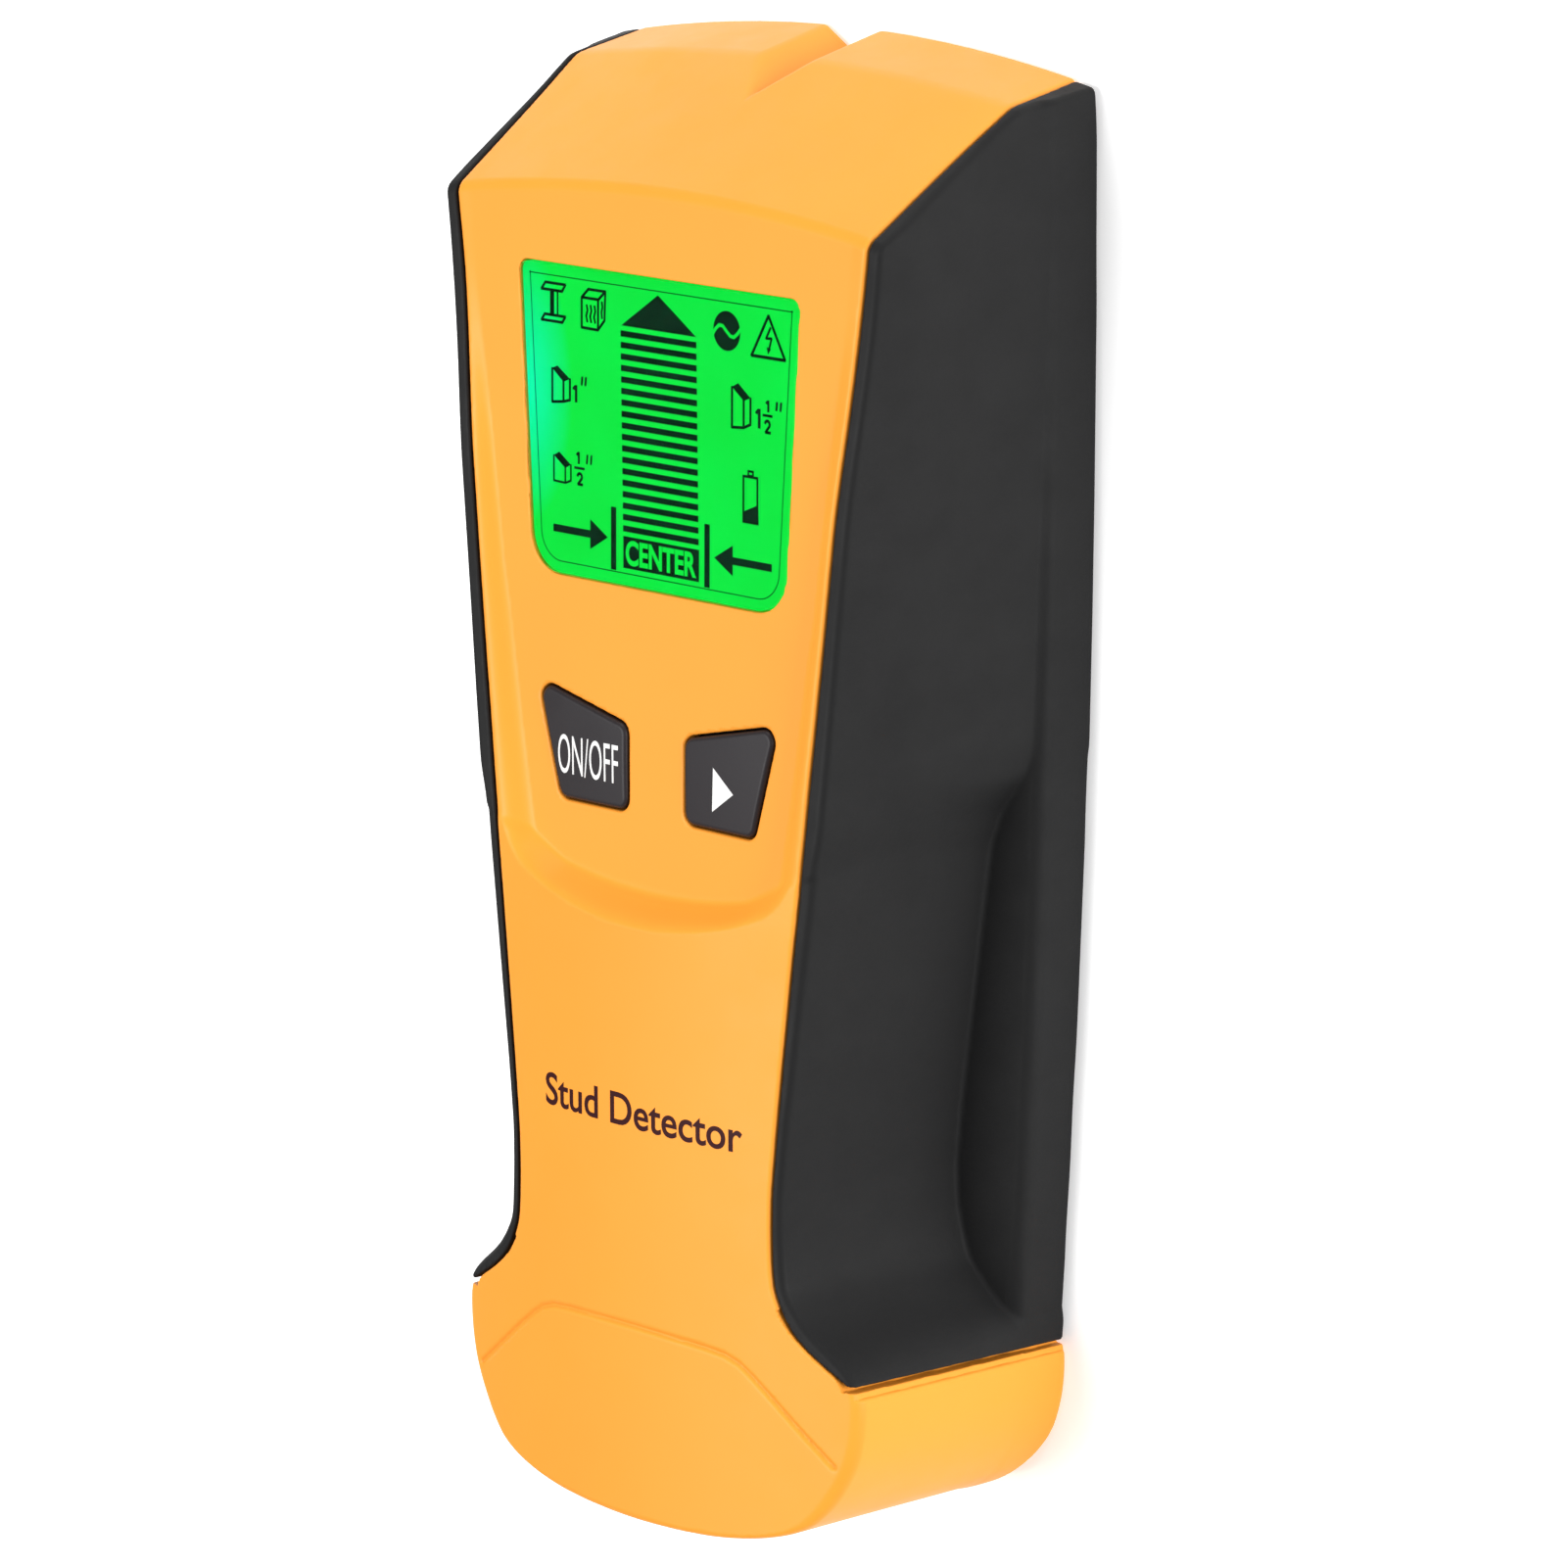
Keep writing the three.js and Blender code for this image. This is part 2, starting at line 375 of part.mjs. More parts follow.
// ---------------------------------------------------------------- circuit board and parts
const pcbPlan = rounded([[-22.6, -13.0], [22.6, -13.0], [29.0, 40.0], [30.6, 62.0], [27.5, 69.5], [-27.5, 69.5], [-30.6, 62.0], [-29.0, 40.0]], 1.2, 3);
let pcb = prism(pcbPlan, PCB_Z, PCB_Z + PCB_T);
for (const [x, y] of PCB_SCREWS) pcb = pcb.subtract(cyl(x, y, 1.3, 20, 30, 14));
add('main_pcb', pcb, 0x1d6b3a, 0.5);
add('microcontroller', box(-5, 5, 13.5, 23.5, PCB_Z - 1.6, PCB_Z - 0.05), 0x17181a, 0.45);
add('buzzer', cyl(-15.5, 20, 6, PCB_Z - 6.5, PCB_Z - 0.05, 28).subtract(cyl(-15.5, 20, 1.2, PCB_Z - 8, PCB_Z - 4.5, 12)), 0x1b1b1d, 0.5);
add('quartz_crystal', box(8.5, 13.0, 12, 22.5, PCB_Z - 3.4, PCB_Z - 0.05), 0xc8ccd0, 0.25, 0.95);
add('filter_capacitor', cyl(17.5, 4.5, 3.1, PCB_Z - 8.0, PCB_Z - 0.05, 22), 0x243a66, 0.4);
add('voltage_regulator', box(-19.5, -13.0, 2.5, 6.5, PCB_Z - 2.2, PCB_Z - 0.05), 0x1a1b1d, 0.5);
for (const [i, [x, y]] of PCB_SCREWS.entries()) {
  const m = Manifold.union(cyl(x, y, 2.1, PCB_Z - 1.5, PCB_Z - 0.05, 18), cyl(x, y, 0.85, PCB_Z - 1.0, 29.5, 12)).subtract(box(x - 1.3, x + 1.3, y - 0.25, y + 0.25, PCB_Z - 3, PCB_Z - 0.9)).subtract(box(x - 0.25, x + 0.25, y - 1.3, y + 1.3, PCB_Z - 3, PCB_Z - 0.9));
  add(`pcb_screw_${i + 1}`, m, 0xc4c7ca, 0.3, 0.95);
}
// keys and switches
const keyC = [11.9, 3.7];
for (const s of [-1, 1]) {
  const nm = s < 0 ? 'power' : 'mode';
  const cx = s * keyC[0], cy = keyC[1];
  let k = prism(keyPts(s, -0.45), KEY_TOP - 0.45, KEY_TOP);
  k = Manifold.union([k, prism(keyPts(s, 0), 29.6, KEY_TOP - 0.45), prism(keyPts(s, 0.9), 29.6, 30.3), cyl(cx, cy, 2.2, 28.75, 30.5, 18)]);
  const skirt = offset(rounded([[6.4, -1.2], [16.2, -1.2], [19.4, 9.8], [6.4, 7.2]], 1.0, 3), 0);
  k = k.subtract(prism(s > 0 ? skirt : mirrorX(skirt), 29.0, 31.0).subtract(cyl(cx, cy, 2.2, 28, 32, 18)));
  add(`${nm}_key`, k, 0x3a383c, 0.6);
  add(`${nm}_switch_plunger`, cyl(cx, cy, 1.6, 27.15, 28.7, 18), 0x8a3a20, 0.5);
  add(`${nm}_switch`, box(cx - 3.1, cx + 3.1, cy - 3.1, cy + 3.1, PCB_Z + PCB_T + 0.05, 27.45).subtract(cyl(cx, cy, 1.95, 20, 40, 18)), 0x202225, 0.5);
}

// ---------------------------------------------------------------- sensors behind the rear cover
let sb = box(-30, 30, 45.0, 78.5, 5.4, 6.6);
for (const s of [1, -1]) sb = sb.subtract(cyl(s * 27.6, 76.6, 3.6, 4, 8, 18));
add('sensor_board', sb, 0x1d6b3a, 0.5);
add('sensor_plate_left', prism(rounded([[-26, 48], [-10, 48], [-10, 73], [-26, 73]], 1.5), 5.0, 5.35), 0xc9863c, 0.35, 0.9);
add('sensor_plate_centre', prism(rounded([[-8, 48], [8, 48], [8, 73], [-8, 73]], 1.5), 5.0, 5.35), 0xc9863c, 0.35, 0.9);
add('sensor_plate_right', prism(rounded([[10, 48], [26, 48], [26, 73], [10, 73]], 1.5), 5.0, 5.35), 0xc9863c, 0.35, 0.9);
add('metal_coil_core', cyl(0, 60.5, 4.0, 6.7, 15.5, 24), 0x2d2d30, 0.6);
add('metal_coil', cyl(0, 60.5, 11.0, 6.7, 12.2, 32).subtract(cyl(0, 60.5, 4.4, 5, 20, 24)), 0xb8692a, 0.35, 0.85);
add('live_wire_antenna', prism([[-22, 72.0], [22, 72.0], [22, 76.0], [17, 76.0], [17, 73.6], [-17, 73.6], [-17, 76.0], [-22, 76.0]], 6.7, 7.1), 0xc9863c, 0.35, 0.9);
// board to board connector
add('board_connector', box(-8, 8, 40.2, 43.0, 7.0, 24.6), 0xe6e2d2, 0.5);

// ---------------------------------------------------------------- battery, snap and leads
const by1 = BATTERY.y0 + BATTERY.l, bz1 = BATTERY.z0 + BATTERY.t, bzc = BATTERY.z0 + BATTERY.t / 2;
{
  const c = rounded([[-BATTERY.w / 2, BATTERY.z0], [BATTERY.w / 2, BATTERY.z0], [BATTERY.w / 2, bz1], [-BATTERY.w / 2, bz1]], 2.2, 3);
  let b = prism(c.map(([x, z]) => [x, -z]).reverse(), 0, BATTERY.l).rotate([-90, 0, 0]);
  b = b.translate([0, BATTERY.y0, 0]);
  if (b.boundingBox().min[2] < 0) b = b.mirror([0, 0, 1]);
  add('battery_9v', b, 0x3b4a63, 0.35, 0.3);
}
add('battery_terminal_positive', Manifold.union(cylY(-6.3, bzc, 2.7, by1 + 0.05, by1 + 2.4, 20), cylY(-6.3, bzc, 3.0, by1 + 1.7, by1 + 2.3, 20)), 0xd0d3d6, 0.25, 1);
add('battery_terminal_negative', cylY(6.3, bzc, 3.9, by1 + 0.05, by1 + 2.4, 6), 0xd0d3d6, 0.25, 1);
let snap = box(-12.2, 12.2, by1 + 0.5, by1 + 5.0, bzc - 6.0, bzc + 6.0);
snap = snap.subtract(cylY(-6.3, bzc, 3.4, by1, by1 + 2.8, 20)).subtract(cylY(6.3, bzc, 4.3, by1, by1 + 2.8, 20));
add('battery_snap', snap, 0x1c1c1e, 0.6);
const ls = by1 + 5.1;
add('lead_red', wire([[-3.2, ls, bzc + 3.0], [-3.2, ls + 3.0, bzc + 3.2], [-3.4, ls + 7.5, bzc + 4.2], [-3.6, ls + 11.0, 21.0], [-3.6, ls + 11.6, PCB_Z - 0.2]], 0.65), 0xc02420, 0.45);
add('lead_black', wire([[3.2, ls, bzc + 3.0], [3.2, ls + 3.0, bzc + 3.2], [3.4, ls + 7.5, bzc + 4.2], [3.6, ls + 11.0, 21.0], [3.6, ls + 11.6, PCB_Z - 0.2]], 0.65), 0x1a1a1c, 0.45);
add('battery_foam_pad', box(-11, 11, -68, -34, bz1 + 0.1, BAY.z - 0.05), 0x4a4a4a, 0.95);

// ---------------------------------------------------------------- housing screws
for (const [i, [x, y]] of SCREWS.entries()) {
  const m = Manifold.union(cyl(x, y, 2.6, 0.35, 1.6, 20), cyl(x, y, 1.15, 1.0, 14.5, 14)).subtract(box(x - 1.6, x + 1.6, y - 0.3, y + 0.3, -1, 0.95)).subtract(box(x - 0.3, x + 0.3, y - 1.6, y + 1.6, -1, 0.95));
  add(`housing_screw_${i + 1}`, m, 0x8f9296, 0.3, 0.95);
}

export default group;
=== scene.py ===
import json
import math

import bpy
import bmesh
import numpy as np
from mathutils import Matrix, Vector


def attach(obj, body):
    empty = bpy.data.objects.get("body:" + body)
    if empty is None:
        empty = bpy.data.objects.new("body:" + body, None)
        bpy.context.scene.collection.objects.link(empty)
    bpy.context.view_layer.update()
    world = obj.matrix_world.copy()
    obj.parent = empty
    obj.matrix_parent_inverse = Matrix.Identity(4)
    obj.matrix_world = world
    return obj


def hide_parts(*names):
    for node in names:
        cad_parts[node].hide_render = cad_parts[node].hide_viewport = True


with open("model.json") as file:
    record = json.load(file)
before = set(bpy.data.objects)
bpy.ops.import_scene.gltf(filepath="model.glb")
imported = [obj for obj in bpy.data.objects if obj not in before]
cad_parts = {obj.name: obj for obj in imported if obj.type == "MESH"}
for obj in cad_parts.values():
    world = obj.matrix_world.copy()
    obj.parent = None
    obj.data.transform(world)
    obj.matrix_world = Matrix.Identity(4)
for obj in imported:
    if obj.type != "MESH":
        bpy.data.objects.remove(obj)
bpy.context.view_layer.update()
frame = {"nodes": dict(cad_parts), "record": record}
nodes = frame["nodes"]
MM = 0.001

# ------------------------------------------------------------------ shape tables (millimetres)
GAP = 0.3
CROWN_Z, CROWN_K = 37.4, 0.0034
FLOOR_Z0, FLOOR_SLOPE = 32.3, 0.010
SEAM_Y = -65.9
FLANGE_Z = 7.7
# y, cover boundary x, edge z, outer x at front edge, outer x at rear, wall x at z 9.4, wall x at z 22
SIDE = np.array([
    [92.0, 37.3, 8.0, 37.9, 40.2, 39.6, 38.8], [88.2, 37.3, 8.0, 37.9, 40.3, 39.7, 38.9],
    [86.3, 37.5, 9.0, 38.6, 40.7, 40.1, 39.4], [84.1, 37.9, 12.1, 39.3, 40.9, 40.5, 40.0],
    [80.1, 37.1, 17.5, 38.7, 41.1, 40.5, 39.6], [76.1, 36.6, 23.2, 38.6, 41.1, 40.5, 39.6],
    [72.1, 36.2, 29.1, 38.5, 41.1, 40.4, 39.5], [70.1, 36.0, 32.0, 38.2, 41.1, 40.3, 39.3],
    [68.1, 35.8, 32.3, 37.9, 41.1, 40.2, 39.2], [60.0, 34.7, 32.7, 37.0, 41.2, 40.0, 38.6],
    [48.1, 33.3, 33.1, 35.6, 41.1, 39.6, 37.7], [36.0, 31.8, 33.6, 34.3, 41.0, 39.2, 36.9],
    [24.1, 30.5, 34.1, 33.0, 40.8, 38.8, 36.0], [12.0, 29.1, 34.4, 31.8, 40.5, 38.3, 35.2],
    [8.1, 28.6, 34.5, 31.4, 40.4, 38.1, 34.9], [4.6, 28.2, 34.6, 31.0, 40.2, 37.3, 34.4],
    [0.1, 27.7, 34.7, 30.5, 40.0, 33.9, 33.0], [-4.0, 27.2, 34.8, 29.3, 39.9, 32.5, 31.1],
    [-8.0, 26.8, 34.9, 28.8, 39.7, 31.9, 30.3], [-16.0, 25.8, 35.1, 27.7, 39.3, 30.8, 29.2],
    [-28.0, 24.4, 35.3, 26.1, 38.7, 29.2, 27.6], [-36.0, 23.5, 35.5, 25.0, 38.1, 28.1, 26.5],
    [-44.0, 22.7, 35.6, 24.1, 37.7, 27.3, 25.6], [-49.0, 22.6, 35.6, 24.1, 37.3, 27.4, 25.7],
    [-53.0, 22.7, 35.6, 24.3, 37.0, 28.2, 26.1], [-56.0, 23.0, 35.5, 24.6, 36.9, 29.2, 26.9],
    [-59.9, 24.9, 35.3, 27.4, 36.6, 32.4, 29.9], [-62.0, 27.2, 34.9, 30.2, 36.5, 34.8, 32.6],
    [-63.9, 29.9, 34.4, 33.0, 36.3, 35.9, 34.4], [-65.9, 34.0, 33.6, 34.9, 36.3, 36.2, 35.7],
    [-69.0, 33.6, 33.6, 35.1, 36.5, 36.0, 35.6], [-72.5, 33.3, 33.8, 34.8, 36.2, 35.7, 35.3],
    [-76.0, 32.4, 34.1, 33.9, 35.2, 34.7, 34.3], [-79.0, 30.8, 34.5, 32.3, 33.8, 33.3, 32.8],
    [-82.0, 28.7, 34.8, 30.2, 31.9, 31.3, 30.8], [-84.9, 25.6, 35.0, 27.1, 29.1, 28.4, 27.8],
    [-87.3, 21.5, 35.0, 23.0, 25.7, 24.8, 23.9], [-89.0, 16.0, 35.0, 17.5, 21.0, 19.8, 18.7],
    [-93.0, 0.5, 35.0, 2.0, 6.0, 4.6, 3.4], [-96.0, -8.0, 35.0, -6.0, -2.0, -3.4, -4.6]])[::-1]
DISH = np.array([[-20, 19.0], [-11, 20.5], [-5, 21.8], [5, 23.6], [20, 26.0], [25, 27.0], [40, 29.0], [60, 32.0], [80, 34.0]])
YD = np.arange(-96, 96.01, 0.1)


def dense(col, sigma):
    v = np.interp(YD, SIDE[:, 0], SIDE[:, col])
    k = np.exp(-0.5 * (np.arange(-60, 61) * 0.1 / sigma) ** 2)
    return np.convolve(np.pad(v, 60, mode="edge"), k / k.sum(), mode="valid")


T_XF, T_XO, T_XB = dense(1, 0.9), dense(3, 1.1), dense(4, 1.2)
T_X2, T_X3 = dense(5, 0.8), dense(6, 1.6)
T_Z4 = dense(2, 0.6)
T_GX = np.sqrt(1 + np.gradient(T_X3, YD) ** 2)


def tab(t, y):
    return np.interp(y, YD, t)


def smooth01(u):
    u = np.clip(u, 0, 1)
    return u * u * (3 - 2 * u)


def rmax(a, b, r):
    """Intersection of two solids with a round edge."""
    u, v = np.maximum(a + r, 0), np.maximum(b + r, 0)
    return np.minimum(np.maximum(a, b), -r) + np.sqrt(u * u + v * v)


def rmin(a, b, r):
    return -rmax(-a, -b, r)


def crease1(x):
    return 72.5 - 2.3 * (x / 34) ** 2


def crease2(x):
    return 86.8 - 2.6 * (x / 37) ** 2


def end_y(x):
    return 89.5 - 3.1 * (x / 37) ** 2


def bottom_y(x):
    return -88.8 + 0.0034 * x * x


def front_z(x, y):
    ax = np.abs(x)
    crown = CROWN_Z - CROWN_K * x * x
    xf, xi = tab(T_XF, y), np.interp(y, DISH[:, 0], DISH[:, 1])
    edge = CROWN_Z - CROWN_K * xf * xf
    edge = edge - (edge - 32.4) * smooth01((y - 36) / 30)
    base = FLOOR_Z0 + FLOOR_SLOPE * (70 - y)
    so, si = -15.4 + 0.0089 * x * x, -11.2 + 0.0057 * x * x + 2.0 * smooth01((ax - 15) / 9)
    us, ut = np.clip(1.3 * (ax - xi) / (xf - xi), 0, 1), np.clip((si - y) / (si - so), 0, 1)
    target = edge + (crown - edge) * smooth01(ut * 3)
    return base + (target - base) * smooth01(np.hypot(us, ut))


def f_front(x, y, z):
    return (z - front_z(x, y)) * 0.985


def f_chamfer(x, y, z):
    y1, y2 = crease1(x), crease2(x)
    dz, dy = 32.4 - 11.2, y2 - y1
    return ((y - y1) * dz + (z - 32.4) * dy) / np.sqrt(dz * dz + dy * dy)


def f_end(x, y, z):
    y2, y3 = crease2(x), end_y(x)
    dy = y3 - y2
    return ((y - y2) * 11.2 + (z - 11.2) * dy) / np.sqrt(11.2 * 11.2 + dy * dy)


def f_bottom(x, y, z):
    return (bottom_y(x) + 0.9 * np.clip(1 - z / 34, 0, 1) - y) * 0.98


def f_side(x, y, z):
    """Outer side with the finger scoop and its rear flange."""
    ax = np.abs(x)
    xb, x2, x3, xo = tab(T_XB, y), tab(T_X2, y), tab(T_X3, y), tab(T_XO, y)
    z4 = np.maximum(tab(T_Z4, y) - 1.3, 8)
    deep = smooth01((8.5 - y) / 6) * smooth01((y + 65.5) / 4.5)
    w0 = xb * (1 - deep) + (x2 + 1.2) * deep
    k = np.minimum(1, z4 / 31.0)
    za, zb = 9.4 * k, 22.0 * k
    s0, s1, s2 = (x2 - w0) / za, (x3 - x2) / (zb - za), (xo - x3) / (z4 - zb)

    def soft(t, w):
        return 0.5 * (t + np.sqrt(t * t + w * w))

    wall = w0 + s0 * z + (s1 - s0) * soft(z - za, 3.0) + (s2 - s1) * soft(z - zb, 5.0)
    zc = 23 + 5 * np.clip((y - 8) / 58, 0, 1)
    wall = wall + 0.30 * np.exp(-((z - zc) / 3.6) ** 2) * smooth01((y - 1) / 7) * smooth01((74 - y) / 8)
    gx = tab(T_GX, y)
    core = (ax - wall) * 0.985 / gx
    flange = rmax((ax - (xb - 0.09 * z)) / gx, (z - (FLANGE_Z + 0.19 * (xb - 0.8 - ax))) * 0.98, 1.6)
    return rmin(core, flange, 0.5)


def notch_cut(x, y, z):
    """Positive inside the marking groove."""
    return (y - (86.6 - 0.2384 * z) - np.abs(x) * 2.9 / 4.8) * 0.855


def sd_poly(x, y, pts):
    """Signed distance to a polygon, negative inside."""
    p = np.asarray(pts, float)
    d2, s = None, None
    n = len(p)
    for i in range(n):
        a, b = p[i], p[(i + 1) % n]
        ex, ey = b[0] - a[0], b[1] - a[1]
        wx, wy = x - a[0], y - a[1]
        t = np.clip((wx * ex + wy * ey) / (ex * ex + ey * ey), 0, 1)
        q = (wx - t * ex) ** 2 + (wy - t * ey) ** 2
        d2 = q if d2 is None else np.minimum(d2, q)
        c = ((a[1] <= y) & (b[1] > y) & (ex * wy > ey * wx)) | ((a[1] > y) & (b[1] <= y) & (ex * wy < ey * wx))
        s = c if s is None else s ^ c
    d = np.sqrt(d2)
    return np.where(s, -d, d)


def round_poly(pts, radii, seg=8):
    out, n = [], len(pts)
    for i in range(n):
        P, A, B = np.array(pts[i], float), np.array(pts[i - 1], float), np.array(pts[(i + 1) % n], float)
        r = radii[i] if hasattr(radii, "__len__") else radii
        u, v = (A - P) / np.linalg.norm(A - P), (B - P) / np.linalg.norm(B - P)
        th = math.acos(float(u @ v))
        d = r / math.tan(th / 2)
        w = (u + v) / np.linalg.norm(u + v)
        c = P + w * r / math.sin(th / 2)
        s, e = P + u * d - c, P + v * d - c
        a0, a1 = math.atan2(s[1], s[0]), math.atan2(e[1], e[0])
        da = (a1 - a0 + math.pi) % (2 * math.pi) - math.pi
        for k in range(seg + 1):
            a = a0 + da * k / seg
            out.append((c[0] + r * math.cos(a), c[1] + r * math.sin(a)))
    return out


WIN = round_poly([(-21.9, 24.95), (21.9, 24.95), (24.25, 62.1), (-24.25, 62.1)], [5.0, 5.0, 1.2, 1.2], 10)
KEY_R = round_poly([(5.12, -2.35), (16.9, -2.4), (20.9, 11.45), (5.16, 7.95)], 1.5, 8)
KEY_L = [(-x, y) for x, y in KEY_R][::-1]
_g = [(31.4, -76.0), (27.2, -72.8), (22.6, -69.2), (19.6, -67.0), (17.6, -65.75), (15.2, -65.0), (12, -64.7), (8, -64.55), (4, -64.45)]
GROOVE = [(-a, b) for a, b in _g] + [(0, -64.4)] + _g[::-1]


def sd_line(x, y, pts):
    d2 = None
    for a, b in zip(pts[:-1], pts[1:]):
        ex, ey = b[0] - a[0], b[1] - a[1]
        wx, wy = x - a[0], y - a[1]
        t = np.clip((wx * ex + wy * ey) / (ex * ex + ey * ey), 0, 1)
        q = (wx - t * ex) ** 2 + (wy - t * ey) ** 2
        d2 = q if d2 is None else np.minimum(d2, q)
    return np.sqrt(d2)


def f_top(x, y, z):
    """Front face, bevel and end face with their soft creases, and the marking groove."""
    f = rmax(f_front(x, y, z), f_chamfer(x, y, z), 0.9)
    f = rmax(f, f_end(x, y, z), 0.3)
    return rmax(f, notch_cut(x, y, z), 0.3)


def f_ends(x, y, z):
    f = f_top(x, y, z)
    return f, f_bottom(x, y, z)


def plan(x, y):
    """Negative inside the front cover's outline, in plan."""
    a = (np.abs(x) - (tab(T_XF, y) - GAP)) * 0.93
    return np.minimum(a, y - (SEAM_Y - GAP))


SCREWS = [(27.5, 76.5), (-27.5, 76.5), (22.0, -66.8), (-22.0, -66.8)]
PCB_SCREWS = [(25.0, 66.6), (-25.0, 66.6), (20.2, -9.0), (-20.2, -9.0)]


def f_cover(x, y, z):
    top, bot = f_ends(x, y, z)
    ax = np.abs(x)
    side = f_side(x, y, z)
    low = side - 7 * smooth01((y + 66.5) / 5)
    rear = rmax(bot, -z, 7.0)
    corner = rmax(low, bot, 2.4)
    edge_r = 0.8 + 0.6 * smooth01((y + 87.5) / 8)
    body = np.maximum(rmax(top, corner, edge_r), rmax(top, rmax(low, rear, 0.8), 0.5))
    # recessed band under the grip ends
    band = np.minimum(side + 0.5, y + 67.3)
    body = rmax(body, np.where(y < -58, band, -9), 0.45)
    slot = np.minimum(side + 2.0, y + 66.6)
    body = np.maximum(body, np.where(y < -58, slot, -9))
    pl = plan(x, y)
    outer = rmax(body, pl, 0.55)
    outer = np.maximum(outer, -z)
    # groove across the lower front
    d = sd_line(x, y, GROOVE)
    outer = outer + np.where(y < -55, 0.36 * np.exp(-(d / 0.34) ** 2) * smooth01((z - 31.2) / 2.0), 0.0)
    # cavity
    cav = rmax(top + 2.2, corner + 2.25, 1.5)
    cav = np.maximum(cav, rear + 2.3 - 14 * smooth01((y + 74.5) / 2))
    cav = rmax(cav, pl + 2.3, 1.0)
    cav = np.maximum(cav, -np.maximum(z - 2.9, y - (-74.1 + 0.0045 * x * x)))
    cav = np.maximum(cav, -np.maximum(ax - 8.6, (85.1 - 0.2384 * z) - y))
    cav = np.where(z < 2.95, np.maximum(cav, y - 84.6), cav)
    for sx, sy in SCREWS:
        cav = np.maximum(cav, -np.maximum(np.hypot(x - sx, y - sy) - 3.1, 3.2 - z))
    for sx, sy in PCB_SCREWS:
        cav = np.maximum(cav, -np.maximum(np.hypot(x - sx, y - sy) - 2.4, 26.1 - z))
    f = np.maximum(outer, -cav)
    for sx, sy in SCREWS:
        f = np.maximum(f, -np.maximum(np.hypot(x - sx, y - sy) - 1.5, z - 17))
    for sx, sy in PCB_SCREWS:
        f = np.maximum(f, -np.maximum(np.hypot(x - sx, y - sy) - 1.2, z - 29.9))
    # display and key apertures with soft lips
    for poly, gapw, lip in ((WIN, 0.22, 0.14), (KEY_L, 0.28, 0.35), (KEY_R, 0.28, 0.35)):
        h = sd_poly(x, y, poly) - gapw
        f = np.where(z > 24, rmax(f, -h + 0 * z, lip), f)
    return f


def f_grip(x, y, z):
    """The right hand grip; the left one is its mirror image."""
    top, _ = f_ends(x, y, z)
    side = f_side(x, y, z)
    f = rmax(top, side, 0.8)
    f = np.where(z < 14, rmax(f, 0.35 - z, 0.5), np.maximum(f, 0.35 - z))
    inner = (tab(T_XF, y) - x) * 0.93
    f = rmax(f, inner, 0.3)
    return rmax(f, SEAM_Y - y, 0.4)


